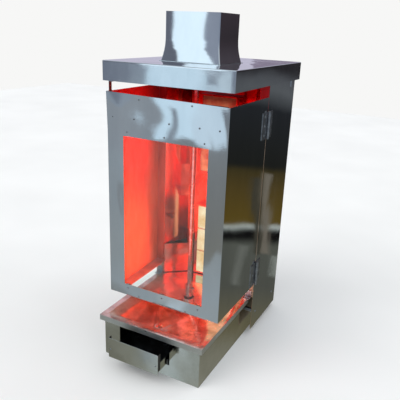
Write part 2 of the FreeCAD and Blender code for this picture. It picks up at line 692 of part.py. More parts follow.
def chimney_collar():
    """Square collar standing on the hood inside the flue, with a flat flange."""
    inset = "collar_inset"
    tube = box((f"{inset} - flue_half", f"flue_front + {inset}", "hood_top"),
               (f"flue_half - {inset}", f"flue_rear - {inset}", "collar_high"))
    flange = box(("-flue_half - collar_flange", "flue_front - collar_flange", "hood_top"),
                 ("flue_half + collar_flange", "flue_rear + collar_flange", "hood_top + gauge"))
    bore = box((f"{inset} + gauge - flue_half", f"flue_front + {inset} + gauge", "hood_top - 1"),
               (f"flue_half - {inset} - gauge", f"flue_rear - {inset} - gauge", "collar_high + 1"))
    return cut(fuse([tube, flange]), [bore])


def chimney_duct():
    """Square flue with its foot flared outwards over the collar."""
    rect = ("-flue_half", "flue_half", "flue_front", "flue_rear")
    inner = ("gauge - flue_half", "flue_half - gauge", "flue_front + gauge", "flue_rear - gauge")
    foot = ("-flue_half - flare_out", "flue_half + flare_out", "flue_front - flare_out", "flue_rear + flare_out")
    inner_foot = ("gauge - flue_half - flare_out", "flue_half + flare_out - gauge",
                  "flue_front - flare_out + gauge", "flue_rear + flare_out - gauge")
    outside = fuse([box(("-flue_half", "flue_front", "flare_high"), ("flue_half", "flue_rear", "flue_top")),
                    frustum("flare_low", "flare_high", foot, rect)])
    inside = fuse([box((inner[0], inner[2], "flare_high"), (inner[1], inner[3], "flue_top + 1")),
                   frustum("flare_low", "flare_high", inner_foot, inner)])
    return cut(outside, [inside])


# ---------------------------------------------------------------- door

def door_front():
    return plate("door_front", "XZ_Plane", ("-door_half", "door_front", "door_low"),
                 "2 * door_half", "door_top - door_low", "gauge",
                 [("door_half - window_half", "window_low - door_low",
                   "2 * window_half", "window_top - window_low")])


def door_side(side):
    """Side wall of the door, with its top and bottom edges folded inwards."""
    wall = mirrored_box(side, ("door_half - gauge", "door_front + gauge", "door_low"),
                        ("door_half", "door_rear", "door_top"))
    low = mirrored_box(side, ("door_half - gauge - 8", "door_front + gauge", "door_low"),
                       ("door_half - gauge", "door_rear", "door_low + gauge"))
    return fuse([wall, low])


def door_returns():
    """Angles that stiffen the front panel's top and bottom edges from inside."""
    wide = "door_half - gauge - 8.2"
    angles = []
    for low, high, lip in (("door_low", "door_low + gauge", "door_low"),
                           ("door_top - gauge", "door_top", "door_top - 12")):
        ledge = box((f"-({wide})", "door_front + gauge", low), (wide, "door_front + gauge + door_return", high))
        web = box((f"-({wide})", "door_front + gauge", lip), (wide, "door_front + 2 * gauge", f"{lip} + 12"))
        angles.append(fuse([ledge, web]))
    return group(angles)


def window_glass():
    lap = "glass_lap"
    return plate("window_glass", "XZ_Plane", (f"-window_half - {lap}", "door_front + gauge", f"window_low - {lap}"),
                 f"2 * (window_half + {lap})", f"window_top - window_low + 2 * {lap}", "glass_thick")


def door_brace():
    """Hat channel across the inside of the front panel, above the glass."""
    outside = box(("-door_half + gauge", "door_front + gauge", "brace_low"),
                  ("door_half - gauge", "door_front + gauge + brace_deep", "brace_low + brace_high"))
    inside = box(("-door_half", "door_front + 2 * gauge", "brace_low + gauge"),
                 ("door_half", "door_front + gauge + brace_deep + 1", "brace_low + brace_high - gauge"))
    return cut(outside, [inside])


def glass_clips():
    """Z clips that hold the pane against the front panel at its top and bottom edges."""
    clips = []
    for across, edge in GLASS_CLIPS:
        above = edge == "top"
        rim = "window_top + glass_lap" if above else "window_low - glass_lap"
        beyond = f"{rim} + 16" if above else f"{rim} - 16"
        over = f"{rim} - 7" if above else f"{rim} + 7"
        gap = f"{rim} + 0.5" if above else f"{rim} - 0.5"
        step = f"{rim} + 2" if above else f"{rim} - 2"
        pane = "door_front + gauge + glass_thick"
        foot = clip_box(across, "door_front + gauge", "door_front + 2 * gauge", gap, beyond, above)
        web = clip_box(across, "door_front + gauge", f"{pane} + 1.6", gap, step, above)
        tongue = clip_box(across, f"{pane} + 0.1", f"{pane} + 1.6", over, step, above)
        clips.append(fuse([foot, web, tongue]))
    return group(clips)


def clip_box(across, front, rear, first, second, above):
    low, high = (first, second) if above else (second, first)
    return box((f"{across} - 8", front, low), (f"{across} + 8", rear, high))


def door_rivets():
    """Heads on the door: over the brace, at the glass clips and on the hinges' moving leaves."""
    spots = list(DOOR_RIVETS)
    spots += [(across, "window_top + glass_lap + 8" if edge == "top" else "window_low - glass_lap - 8")
              for across, edge in GLASS_CLIPS]
    spots += [(-92, 893), (92, 893), (-92, 218), (92, 218)]
    heads = hinge_screws(on_door=True)
    for across, up in spots:
        heads.append(cylinder("rivet_radius", "rivet_rise", (across, "door_front - rivet_rise", up), "+y"))
    return group(heads)


def hinge_leaves(low, on_door):
    """One half of a butt hinge: a leaf, and its share of the knuckles."""
    pitch = f"(hinge_high / {HINGE_KNUCKLES})"
    if on_door:
        leaf_y = ("hinge_y - 6 - leaf_wide", "hinge_y - 6")
        tab_y = ("hinge_y - 6.5", "hinge_y")
    else:
        leaf_y = ("hinge_y + 6", "hinge_y + 6 + leaf_wide")
        tab_y = ("hinge_y", "hinge_y + 6.5")
    pieces = [box(("column_half", leaf_y[0], low), ("column_half + leaf_thick", leaf_y[1], f"{low} + hinge_high"))]
    for index in range(1 if on_door else 0, HINGE_KNUCKLES, 2):
        bottom = f"{low} + {index} * {pitch} + {KNUCKLE_GAP / 2}"
        tall = f"{pitch} - {KNUCKLE_GAP}"
        pieces.append(box(("column_half", tab_y[0], bottom),
                          ("column_half + leaf_thick", tab_y[1], f"{bottom} + {tall}")))
        pieces.append(cylinder("knuckle_radius", tall, ("hinge_x", "hinge_y", bottom)))
    bore = cylinder("hinge_pin_radius + running_gap", "hinge_high + 20", ("hinge_x", "hinge_y", f"{low} - 10"))
    return cut(fuse(pieces), [bore])


def hinge_pins():
    """Headed pins through the knuckles."""
    pins = []
    for low in ("upper_hinge", "lower_hinge"):
        stem = cylinder("hinge_pin_radius", "hinge_high + 2", ("hinge_x", "hinge_y", f"{low} - 1"))
        head = cylinder("hinge_pin_radius + 1.5", "2", ("hinge_x", "hinge_y", f"{low} + hinge_high + 0.2"))
        pins.append(fuse([stem, head]))
    return group(pins)


def hinge_screws(on_door):
    """Screw heads on one side's leaves."""
    across = "hinge_y - 6 - leaf_wide / 2" if on_door else "hinge_y + 6 + leaf_wide / 2"
    heads = []
    for low in ("upper_hinge", "lower_hinge"):
        for step in HINGE_SCREWS:
            heads.append(cylinder("screw_radius", "hinge_screw_rise",
                                  ("column_half + leaf_thick", across, f"{low} + {step}"), "+x"))
    return heads


def door_catch():
    """Bent strap at the door's top left corner that meets the magnet under the hood."""
    strap = box(("gauge - door_half", "door_front + 8", "door_top - 36"),
                ("gauge - door_half + catch_thick", "door_front + 8 + catch_wide", "catch_top"))
    toe = box(("gauge - door_half", "door_front + 8", "catch_top - catch_thick"),
              ("gauge - door_half + catch_wide", "door_front + 8 + catch_wide", "catch_top"))
    return fuse([strap, toe])


def catch_magnet():
    return box(("gauge - door_half", "hood_front + gauge", "hood_low"),
               ("gauge - door_half + catch_wide", "door_front + 8 + catch_wide", "hood_low + 10"))


# ---------------------------------------------------------------- electrical fittings

def fitting_box(centre, half, start, end):
    """A box centred on a rear fitting, from start to end behind the back panel's face."""
    return box((f"{centre} - {half[0]}", f"column_rear + {start}", f"switch_high - {half[1]}"),
               (f"{centre} + {half[0]}", f"column_rear + {end}", f"switch_high + {half[1]}"))


def switch_housing():
    """Flanged snap-in housing, open to the rear for its rocker."""
    centre = "switch_x"
    bezel = fitting_box(centre, (16, 12), "0", "fitting_flange")
    barrel = fitting_box(centre, (12.5, 9.5), "-18", "0")
    pocket = fitting_box(centre, (10, 7.4), "-14", f"{THROUGH}")
    return cut(fuse([bezel, barrel]), [pocket])


def switch_rocker():
    """Barrel-shaped rocker that tilts about its own cross axis."""
    return cylinder("rocker_radius", "rocker_long",
                    ("switch_x - rocker_long / 2", "column_rear - rocker_sunk", "switch_high"), "+x")


def power_inlet():
    """Recessed mains socket with three flat pins."""
    centre = "-switch_x"
    flange = fitting_box(centre, (24, 15), "0", "fitting_flange")
    barrel = fitting_box(centre, (13.5, 11.5), "-24", "0")
    recess = fitting_box(centre, (12, 9), "-18", f"{THROUGH}")
    pins = [box((f"{centre} + {across} - 1", "column_rear - 20", f"switch_high + {up} - 3"),
                (f"{centre} + {across} + 1", "column_rear - 2", f"switch_high + {up} + 3"))
            for across, up in INLET_PINS]
    return fuse([cut(fuse([flange, barrel]), [recess])] + pins)


SUBPARTS = {
    "base_shell": base_shell, "base_floor": base_floor, "base_deck": base_deck,
    "drip_pan": drip_pan, "drawer_runners": drawer_runners,
    "grease_tray": grease_tray, "drawer_front": drawer_front, "drawer_screws": drawer_screws,
    "motor_bracket": motor_bracket, "gearmotor": gearmotor, "lower_bearing": lower_bearing,
    "drive_shaft": drive_shaft, "spit_socket": spit_socket, "spit_rod": spit_rod, "clamp_screw": clamp_screw,
    "top_bridge": top_bridge, "upper_bush": upper_bush,
    "column_left": lambda: column_side(-1), "column_right": lambda: column_side(1),
    "column_back": column_back, "column_feet": column_feet, "column_spacers": column_spacers,
    "column_screws": column_screws,
    "reflector_left": lambda: side_reflector(-1), "reflector_right": lambda: side_reflector(1),
    "low_reflectors": lambda: group([low_reflector(side) for side in (-1, 1)]),
    "reflector_back": reflector_back,
    "gas_manifold": gas_manifold, "gas_jets": gas_jets, "gas_inlet": gas_inlet,
    "hood_shell": hood_shell, "hood_gussets": hood_gussets,
    "chimney_collar": chimney_collar, "chimney_duct": chimney_duct,
    "door_front": door_front, "door_left": lambda: door_side(-1), "door_right": lambda: door_side(1),
    "door_returns": door_returns, "window_glass": window_glass, "door_brace": door_brace,
    "glass_clips": glass_clips, "door_rivets": door_rivets,
    "door_hinge_leaves": lambda: group([hinge_leaves(low, True) for low in ("upper_hinge", "lower_hinge")]),
    "column_hinge_leaves": lambda: group([hinge_leaves(low, False) for low in ("upper_hinge", "lower_hinge")]),
    "hinge_pins": hinge_pins,
    "door_catch": door_catch, "catch_magnet": catch_magnet,
    "switch_housing": switch_housing, "switch_rocker": switch_rocker, "power_inlet": power_inlet,
}
for name, low in (("lower", "burner_low"), ("upper", "burner_high")):
    SUBPARTS[name + "_burner_housing"] = lambda low=low: burner_housing(low)
    SUBPARTS[name + "_burner_tiles"] = lambda low=low: burner_tiles(low)
    SUBPARTS[name + "_burner_frame"] = lambda low=low: burner_frame(low)
SUBPARTS["venturi_tubes"] = lambda: group([venturi(low) for low in ("burner_low", "burner_high")])
SUBPARTS["gas_valves"] = lambda: group([valve(level) for level in ("valve_low", "valve_high")])
SUBPARTS["lower_knob"] = lambda: knob("valve_low")
SUBPARTS["upper_knob"] = lambda: knob("valve_high")


def main():
    for label, make in SUBPARTS.items():
        keep(make(), label)
    document.recompute()
    for item in document.Objects:
        assert "Invalid" not in item.State and "Error" not in item.State, (item.Label, item.State)
    for item in finished:
        assert not item.Shape.isNull() and item.Shape.isValid() and item.Shape.Solids, item.Label
    os.makedirs("parts", exist_ok=True)
    for item in finished:
        item.Shape.exportStep(f"parts/{item.Label}.step")
    whole = Part.makeCompound([item.Shape for item in finished]).BoundBox
    print(len(finished), "nodes;", "box", *(round(edge, 2) for edge in (
        whole.XMin, whole.XMax, whole.YMin, whole.YMax, whole.ZMin, whole.ZMax)))


main()
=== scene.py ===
"""Vertical rotisserie broiler: sheet-steel shells, glowing burners, glazed door and their finishes."""
import json
import math

import bmesh
import bpy
from bpy.props import FloatProperty, FloatVectorProperty, StringProperty
from mathutils import Matrix, Vector, kdtree, noise


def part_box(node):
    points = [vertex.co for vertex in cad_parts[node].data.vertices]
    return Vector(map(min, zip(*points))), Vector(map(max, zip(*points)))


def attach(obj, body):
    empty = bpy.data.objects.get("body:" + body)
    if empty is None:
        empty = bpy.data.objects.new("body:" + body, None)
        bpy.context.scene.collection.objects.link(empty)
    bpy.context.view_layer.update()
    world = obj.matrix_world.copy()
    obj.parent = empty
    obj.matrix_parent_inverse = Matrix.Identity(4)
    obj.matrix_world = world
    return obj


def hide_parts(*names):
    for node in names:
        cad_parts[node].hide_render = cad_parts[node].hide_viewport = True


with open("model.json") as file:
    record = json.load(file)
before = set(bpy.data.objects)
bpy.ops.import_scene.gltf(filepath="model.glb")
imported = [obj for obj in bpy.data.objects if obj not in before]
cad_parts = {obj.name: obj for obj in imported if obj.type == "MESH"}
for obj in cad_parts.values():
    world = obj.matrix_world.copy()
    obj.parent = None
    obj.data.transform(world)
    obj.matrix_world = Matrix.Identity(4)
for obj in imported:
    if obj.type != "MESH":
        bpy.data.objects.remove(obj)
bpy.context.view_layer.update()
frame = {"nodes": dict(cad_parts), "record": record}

bl_info = {
    "name": "Vertical Rotisserie Broiler",
    "version": (1, 0, 0),
    "blender": (4, 5, 0),
    "location": "3D View > Sidebar > Broiler",
    "description": "Builds a stainless vertical broiler round its packed frame",
    "category": "Add Mesh",
}

NODES = frame["nodes"]
BODY_OF = {node: body for body, members in frame["record"]["behaviour"]["bodies"].items() for node in members}
MM = 0.001
GAUGE = 1.2 * MM
AXES = {"x": 0, "y": 1, "z": 2}
ROUND = 40.0  # degrees, more than the facets of a turned or cast part meet at, so only its edges are eased
# Between these heights the tinted sheet blends into a dark crimson, partly smoky staining and partly painted red
# glow of the burners, and the plaques fade
SMOKE_AND_GLOW_BAND = (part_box("window_glass")[1].z + 10 * MM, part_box("door_front")[1].z - 35 * MM)
MATERIALS = {}


# -------- settings

class BroilerSheet(bpy.types.PropertyGroup):
    """Sizes and finishes of the sheet-metal work."""

    fold: FloatProperty(
        name="Fold radius", description="Outside radius of the press-brake folds",
        default=2.6 * MM, unit="LENGTH")
    warp: FloatProperty(
        name="Oil canning", description="How far the thin panels bow between their folds",
        default=1.9 * MM, unit="LENGTH")
    grid: FloatProperty(
        name="Panel grid", description="Spacing of the cuts that let a panel bow",
        default=16 * MM, unit="LENGTH")
    polished: StringProperty(
        name="Polished steel", description="Colour of the mirror-polished sheet", default="#d2d6d9")
    brushed: StringProperty(
        name="Brushed steel", description="Colour of the base's brushed sheet", default="#c2c3ba")


class BroilerGlow(bpy.types.PropertyGroup):
    """Colours and strengths of the burners' glow."""

    hot: StringProperty(
        name="Hot plaque", description="Colour of the lower burner's plaques", default="#fff2cc")
    warm: StringProperty(
        name="Warm plaque", description="Colour of the upper burner's plaques", default="#ff8a62")
    hot_power: FloatProperty(
        name="Hot strength", description="Emission of the lower plaques", default=0.8)
    warm_power: FloatProperty(
        name="Warm strength", description="Emission of the upper plaques", default=0.8)
    lower_lamp: StringProperty(
        name="Lower glow", description="Colour that the chamber is lit from below", default="#ff440e")
    upper_lamp: StringProperty(
        name="Upper glow", description="Colour that the chamber is lit from above", default="#ff0818")
    lower_power: FloatProperty(
        name="Lower power", description="Power of the lamp at the lower plaques", default=6.6, unit="POWER")
    upper_power: FloatProperty(
        name="Upper power", description="Power of the lamp at the upper plaques", default=4.5, unit="POWER")
    bounce_lamp: StringProperty(
        name="Bounced glow", description="Colour that the window and the door send back", default="#ff2a1a")
    bounce_power: FloatProperty(
        name="Bounced power", description="Power of the lamp behind the window", default=0.42, unit="POWER")


class BroilerView(bpy.types.PropertyGroup):
    """Where the viewer stands."""

    place: FloatVectorProperty(
        name="Eye", description="Place of the viewer's eye", default=(0.784, -1.512, 1.109),
        subtype="TRANSLATION", unit="LENGTH")
    yaw: FloatProperty(
        name="Turn", description="Turn to the left of straight ahead", default=math.radians(27.14),
        subtype="ANGLE")
    pitch: FloatProperty(
        name="Tilt", description="Tilt below the horizon", default=math.radians(18.97), subtype="ANGLE")
    roll: FloatProperty(
        name="Roll", description="Roll of the view", default=math.radians(2.38), subtype="ANGLE")
    lens: FloatProperty(
        name="Lens", description="Focal length on a 36 mm sensor, in millimetres", default=45.3)


# -------- colours and nodes

def linear(colour, shade=1.0):
    """An sRGB hex colour as linear values, darkened by a shade."""
    parts = [int(colour[i:i + 2], 16) / 255 for i in (1, 3, 5)]
    return [shade * (p / 12.92 if p <= 0.04045 else ((p + 0.055) / 1.055) ** 2.4) for p in parts] + [1.0]


def add(tree, kind, inputs, stops=None, **settings):
    """Adds a node. An input is a value, or a node or (node, output) to link from; stops are a ramp's."""
    made = tree.nodes.new("ShaderNode" + kind)
    for name, value in settings.items():
        setattr(made, name, value)
    for name, value in inputs.items():
        if isinstance(value, bpy.types.Node):
            value = (value, 0)
        if isinstance(value, tuple) and isinstance(value[0], bpy.types.Node):
            tree.links.new(value[0].outputs[value[1]], made.inputs[name])
        else:
            made.inputs[name].default_value = value
    for index, (position, colour) in enumerate(stops or []):
        band = made.color_ramp.elements
        element = band[index] if index < 2 else band.new(position)
        element.position = position
        element.color = linear(colour)
    return made


def new_tree(name):
    """A material with an empty node tree, and its object coordinates."""
    made = bpy.data.materials.new(name)
    made.use_nodes = True
    made.node_tree.nodes.clear()
    place = add(made.node_tree, "TexCoord", {})
    return made, made.node_tree, (place, "Object")


def finish_tree(made, shader_inputs):
    """A material with the surface shader and the output that every one ends in."""
    shader = add(made.node_tree, "BsdfPrincipled", shader_inputs)
    add(made.node_tree, "OutputMaterial", {"Surface": shader})
    return made


def ends(low, high, start=0.0, end=1.0):
    """What a Map Range node turns: a range, and the range it becomes."""
    return {"From Min": low, "From Max": high, "To Min": start, "To Max": end}


def mottled(tree, place, clouds, tones, shine):
    """Noise that sets both a tint, by (position, colour) stops, and a roughness, by a range's four ends."""
    pattern = add(tree, "TexNoise", {"Vector": place, **clouds})
    tint = add(tree, "ValToRGB", {"Fac": pattern}, stops=tones)
    return tint, add(tree, "MapRange", {"Value": pattern, **ends(*shine)})


def relief(tree, place, scale, detail, strength, depth, under=None):
    """Noise of a scale as a bump, over the bump under it where there is one."""
    grit = add(tree, "TexNoise", {"Vector": place, "Scale": scale, "Detail": detail})
    base = {"Normal": under} if under else {}
    return add(tree, "Bump", {"Height": grit, "Strength": strength, "Distance": depth, **base})


# -------- materials

def polished_stainless(name, colour, gloss, ripple_depth):
    """Mirror-polished 304 sheet: sharp, wavy reflections under faint wipe marks and hairline polish lines."""
    made, tree, place = new_tree(name)
    wiped = add(tree, "Mapping", {"Vector": place, "Scale": (9, 9, 3)})
    drawn = add(tree, "Mapping", {"Vector": place, "Scale": (40, 40, 800)})
    tint, shine = mottled(tree, wiped, {"Scale": 1.0, "Detail": 5.0, "Roughness": 0.62},
                          [(0.3, colour[0]), (0.7, colour[1])], (0.35, 0.75, *gloss))
    dents = relief(tree, place, 11.0, 1.0, 0.5, ripple_depth)  # 90 mm ripple
    normal = relief(tree, drawn, 1.0, 2.0, 0.04, 0.3 * MM, dents)  # 1.2 mm polish lines
    return finish_tree(made, {"Base Color": tint, "Metallic": 1.0, "Roughness": shine, "Normal": normal})


def brushed_stainless(name, colour, gloss):
    """No. 4 brushed sheet: short straight grain, softer highlights, greasy patches."""
    made, tree, place = new_tree(name)
    drawn = add(tree, "Mapping", {"Vector": place, "Scale": (25, 25, 1100)})
    tint, shine = mottled(tree, place, {"Scale": 7.0, "Detail": 4.0, "Roughness": 0.6},
                          [(0.3, colour[0]), (0.7, colour[1])], (0.3, 0.7, *gloss))
    dents = relief(tree, place, 12.0, 1.0, 0.4, 0.6 * MM)  # 80 mm ripple
    normal = relief(tree, drawn, 1.0, 3.0, 0.05, 0.2 * MM, dents)  # 0.9 mm grain
    return finish_tree(made, {"Base Color": tint, "Metallic": 1.0, "Roughness": shine, "Anisotropic": 0.3,
                              "Normal": normal})


def tinted_stainless(name, metallic, gloss, tones=("#9a7c62", "#cdb9a4", "#b79b82"), wave=1.0 * MM):
    """Heat-tinted or greasy sheet: streaks of a dark, a light and a middle tone, and above them a dark crimson
    that is partly smoky staining and partly painted red glow.
    """
    made, tree, place = new_tree(name)
    drawn = add(tree, "Mapping", {"Vector": place, "Scale": (18, 18, 5)})
    tint, shine = mottled(tree, drawn, {"Scale": 1.0, "Detail": 5.0, "Roughness": 0.6},
                          list(zip((0.25, 0.8, 0.5), tones)), (0.0, 1.0, *gloss))
    height = add(tree, "SeparateXYZ", {"Vector": place})
    smoke_and_glow = add(tree, "MapRange", {"Value": (height, "Z"), **ends(*SMOKE_AND_GLOW_BAND)})
    # Painted red glow: above the window the streaks blend into crimson, which is partly smoky staining and
    # partly the burners' glow painted on
    stained = add(tree, "Mix", {0: smoke_and_glow, 6: tint, 7: linear("#8a2a30")}, data_type="RGBA")
    normal = relief(tree, place, 16.0, 2.0, 0.4, wave)  # 60 mm heat ripple
    return finish_tree(made, {"Base Color": (stained, 2), "Metallic": metallic, "Roughness": shine,
                              "Normal": normal})


def glowing_plaque(name, colour, power, patchy, body="#5a4a3c"):
    """Perforated cordierite at red heat: a cloudy glow, redder in its dull patches and faint near the top."""
    made, tree, place = new_tree(name)
    glow, level = mottled(tree, place, {"Scale": 20.0, "Detail": 3.0},  # 50 mm hot clouds
                          [(0.35, colour[0]), (0.65, colour[1])],
                          (0.3, 0.7, power * (1 - patchy), power * (1 + patchy)))
    height = add(tree, "SeparateXYZ", {"Vector": place})
    fade = add(tree, "MapRange", {"Value": (height, "Z"), **ends(*SMOKE_AND_GLOW_BAND, 1.0, 0.12)})
    faded = add(tree, "Math", {0: level, 1: fade}, operation="MULTIPLY")
    normal = relief(tree, place, 700.0, 2.0, 0.3, 0.3 * MM)  # 1.4 mm ceramic grit
    return finish_tree(made, {"Base Color": linear(body), "Roughness": 0.85, "Normal": normal,
                              "Emission Color": glow, "Emission Strength": faded})


def metal(name, colour, roughness, speckle, depth):
    """Cast, plated or machined metal: fine speckle, with tarnish that dulls it in patches."""
    made, tree, place = new_tree(name)
    tint, shine = mottled(tree, place, {"Scale": 60.0, "Detail": 4.0},  # 16 mm tarnish
                          [(0.3, colour[0]), (0.7, colour[1])], (0.0, 1.0, roughness * 0.7, roughness * 1.4))
    normal = relief(tree, place, speckle, 3.0, 0.2, depth)
    return finish_tree(made, {"Base Color": tint, "Metallic": 1.0, "Roughness": shine, "Normal": normal})


def moulded(name, colour, roughness):
    """Moulded or painted parts: faint mould texture, with dust on it that dulls the gloss."""
    made, tree, place = new_tree(name)
    tint, shine = mottled(tree, place, {"Scale": 45.0, "Detail": 4.0},  # 22 mm dust
                          [(0.4, colour[0]), (0.9, colour[1])], (0.0, 1.0, roughness * 0.8, roughness + 0.2))
    normal = relief(tree, place, 900.0, 2.0, 0.15, 0.1 * MM)  # 1.1 mm spark texture
    return finish_tree(made, {"Base Color": tint, "Roughness": shine, "Normal": normal})


def toughened_glass():
    """Clear toughened pane with a thin greasy film, which only its gloss shows."""
    made, tree, place = new_tree("toughened_glass")
    drawn = add(tree, "Mapping", {"Vector": place, "Scale": (10, 10, 4)})
    film = add(tree, "TexNoise", {"Vector": drawn, "Scale": 1.0, "Detail": 4.0})
    shine = add(tree, "MapRange", {"Value": film, **ends(0.45, 0.8, 0.0, 0.06)})
    return finish_tree(made, {"Base Color": linear("#f6fbf9"), "Roughness": shine, "IOR": 1.45,
                              "Transmission Weight": 1.0})


# -------- mesh helpers

def finish_piece(bm, name, nodes, keys, smooth=30.0):
    """Turns a bmesh into a piece that stands for its nodes, rides on their body and hides them."""
    mesh = bpy.data.meshes.new(name)
    bm.normal_update()
    bm.to_mesh(mesh)
    bm.free()
    for key in keys:
        mesh.materials.append(MATERIALS[key])
    mesh.shade_smooth()
    mesh.set_sharp_from_angle(angle=math.radians(smooth))
    piece = bpy.data.objects.new(name, mesh)
    bpy.context.scene.collection.objects.link(piece)
    even = piece.modifiers.new("even_shading", "WEIGHTED_NORMAL")
    even.weight = 90
    even.keep_sharp = True
    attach(piece, BODY_OF[nodes[0]])
    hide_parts(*nodes)
    return piece


def merged_copy(node):
    """The node's mesh with its loose triangles joined."""
    bm = bmesh.new()
    bm.from_mesh(NODES[node].data)
    bmesh.ops.remove_doubles(bm, verts=bm.verts, dist=0.01 * MM)
    return bm


def ease_edges(bm, width, segments=2, angle=28.0):
    """Bevels the edges that turn by more than an angle."""
    limit = math.radians(angle)
    edges = [e for e in bm.edges if len(e.link_faces) == 2 and e.calc_face_angle(0.0) > limit]
    bmesh.ops.bevel(bm, geom=edges, offset=width, offset_type="OFFSET", segments=segments, profile=0.5,
                    affect="EDGES", clamp_overlap=True, material=-1)


def softened(node, keys, width=0.4 * MM, segments=2, angle=28.0, second=None, smooth=30.0):
    """A copy of a node with its edges eased; second picks the faces that have its second finish."""
    bm = merged_copy(node)
    bmesh.ops.dissolve_limit(bm, angle_limit=math.radians(0.6), verts=bm.verts, edges=bm.edges)
    ease_edges(bm, width, segments, angle)
    if second:
        for face in bm.faces:
            face.material_index = int(second(face.calc_center_median(), face.normal))
    return finish_piece(bm, node + "_piece", [node], keys, smooth)


def soften_each(*pieces):
    """Softens nodes of one finish: (node, finish, width in mm), with the segments and angle if they differ."""
    for node, key, width, *rest in pieces:
        softened(node, [key], width * MM, *rest)


def islands(node):
    """The (low, high) corners of each separate solid in a node."""
    bm = merged_copy(node)
    left = set(bm.verts)
    found = []
    while left:
        queue = [left.pop()]
        corners = []
        while queue:
            vert = queue.pop()
            corners.append(vert.co.copy())
            for edge in vert.link_edges:
                other = edge.other_vert(vert)
                if other in left:
                    left.remove(other)
                    queue.append(other)
        found.append([Vector([end(at[i] for at in corners) for i in range(3)]) for end in (min, max)])
    bm.free()
    return sorted(found, key=lambda pair: [round(value, 5) for value in pair[0]])


def points(geometry):
    """The vertices among what an operator made."""
    return [part for part in geometry if isinstance(part, bmesh.types.BMVert)]


def open_edges(geometry):
    """The edges among what an operator made that only one face uses."""
    return [part for part in geometry if isinstance(part, bmesh.types.BMEdge) and part.is_boundary]


def slice_along(bm, axis, positions):
    """Cuts the whole mesh by planes across an axis."""
    normal = Vector([float(index == AXES[axis]) for index in range(3)])
    for position in positions:
        bmesh.ops.bisect_plane(bm, geom=bm.verts[:] + bm.edges[:] + bm.faces[:], dist=1e-6,
                               plane_co=normal * position, plane_no=normal)


def steps(low, high, step):
    """Even positions between two ends, about a step apart."""
    count = max(1, round((high - low) / step))
    return [low + (high - low) * i / count for i in range(1, count)]


def box_mesh(low, high, missing=()):
    """A box between two corners, without the sides named in missing, such as -z."""
    bm = bmesh.new()
    middle = (Vector(low) + Vector(high)) / 2
    size = Vector(high) - Vector(low)
    bmesh.ops.create_cube(bm, size=1.0, matrix=Matrix.Translation(middle) @ Matrix.Diagonal((*size, 1.0)))
    gone = [f for f in bm.faces for side in missing
            if f.normal[AXES[side[1]]] * (1 if side[0] == "+" else -1) > 0.9]
    bmesh.ops.delete(bm, geom=gone, context="FACES")
    return bm


def cut_hole(bm, low, high):
    """Cuts out what lies inside a box; None leaves that direction uncut."""
    for axis, start, end in zip("xyz", low, high):
        slice_along(bm, axis, [value for value in (start, end) if value is not None])
    gone = []
    for face in bm.faces:
        middle = face.calc_center_median()
        spans = zip(low, high, middle)
        if all((a is None or a < at) and (b is None or at < b) for a, b, at in spans):
            gone.append(face)
    bmesh.ops.delete(bm, geom=gone, context="FACES")


def bow(bm, amounts, seed, scale, reach=60 * MM):
    """Bows panels by smooth noise: so much for those that face X, Y and Z, and none at folds and edges."""
    limit = math.radians(12)
    still = [v for v in bm.verts if v.is_boundary or any(
        e.calc_face_angle(0.0) > limit for e in v.link_edges if len(e.link_faces) == 2)]
    tree = kdtree.KDTree(len(still))
    for index, vert in enumerate(still):
        tree.insert(vert.co, index)
    tree.balance()
    bm.normal_update()
    moves = []
    for vert in bm.verts:
        away = tree.find(vert.co)[2]
        fade = min(1.0, away / reach)
        lift = noise.noise(vert.co * scale + Vector((seed, 0.7 * seed, -seed)))
        amount = sum(abs(way) * most for way, most in zip(vert.normal, amounts))
        moves.append(vert.normal * (lift * amount * fade * fade * (3 - 2 * fade)))
    for vert, move in zip(bm.verts, moves):
        vert.co += move


def sheet_piece(bm, name, nodes, seed, keys=("polished", "chamber"), fold=None, warp=None, scale=7.0,
                shape=None, heated=None, hemmed=None):
    """Folds, shapes, bows and thickens an open sheet that faces outwards.

    Its inner side has the second finish, and so have the outside faces that heated picks.
    The faces that hemmed picks have the third.
    """
    sheet = bpy.context.scene.broiler_sheet
    ease_edges(bm, fold or sheet.fold, 4, 30.0)
    spans = [(min(v.co[i] for v in bm.verts), max(v.co[i] for v in bm.verts)) for i in range(3)]
    for axis, (low, high) in zip("xyz", spans):
        slice_along(bm, axis, steps(low, high, sheet.grid))
    bmesh.ops.remove_doubles(bm, verts=bm.verts, dist=0.08 * MM)
    if shape:
        shape(bm)
    bow(bm, warp or (0.07 * sheet.warp, sheet.warp, sheet.warp), seed, scale)
    bm.normal_update()
    outer = set(bm.faces)
    bmesh.ops.solidify(bm, geom=bm.faces[:], thickness=GAUGE)
    for face in bm.faces:
        at = face.calc_center_median()
        face.material_index = 0 if face in outer and not (heated and heated(at)) else 1
        if hemmed and hemmed(at):
            face.material_index = 2
    return finish_piece(bm, name, nodes, keys)


def lathe(bm, profile, turns=28):
    """Adds a shape turned about Z from (radius, height) points."""
    verts = [bm.verts.new((radius, 0.0, height)) for radius, height in profile]
    edges = [bm.edges.new(pair) for pair in zip(verts, verts[1:])]
    bmesh.ops.spin(bm, geom=verts + edges, cent=(0, 0, 0), axis=(0, 0, 1), angle=2 * math.pi,
                   steps=turns, use_merge=True)
    bmesh.ops.remove_doubles(bm, verts=bm.verts, dist=0.001 * MM)
    bmesh.ops.recalc_face_normals(bm, faces=bm.faces)


def towards(axis, sign, at):
    """A matrix that puts local +Z along an axis, at a place."""
    direction = Vector([sign * float(index == AXES[axis]) for index in range(3)])
    return Matrix.Translation(at) @ direction.to_track_quat("Z", "Y").to_matrix().to_4x4()


def join_copies(bm, source, matrices):
    """Adds a placed copy of a mesh for each matrix."""
    mesh = bpy.data.meshes.new("pattern")
    source.to_mesh(mesh)
    source.free()
    for matrix in matrices:
        before = len(bm.verts)
        bm.from_mesh(mesh)
        bm.verts.ensure_lookup_table()
        bmesh.ops.transform(bm, matrix=matrix, verts=bm.verts[before:])
    bpy.data.meshes.remove(mesh)


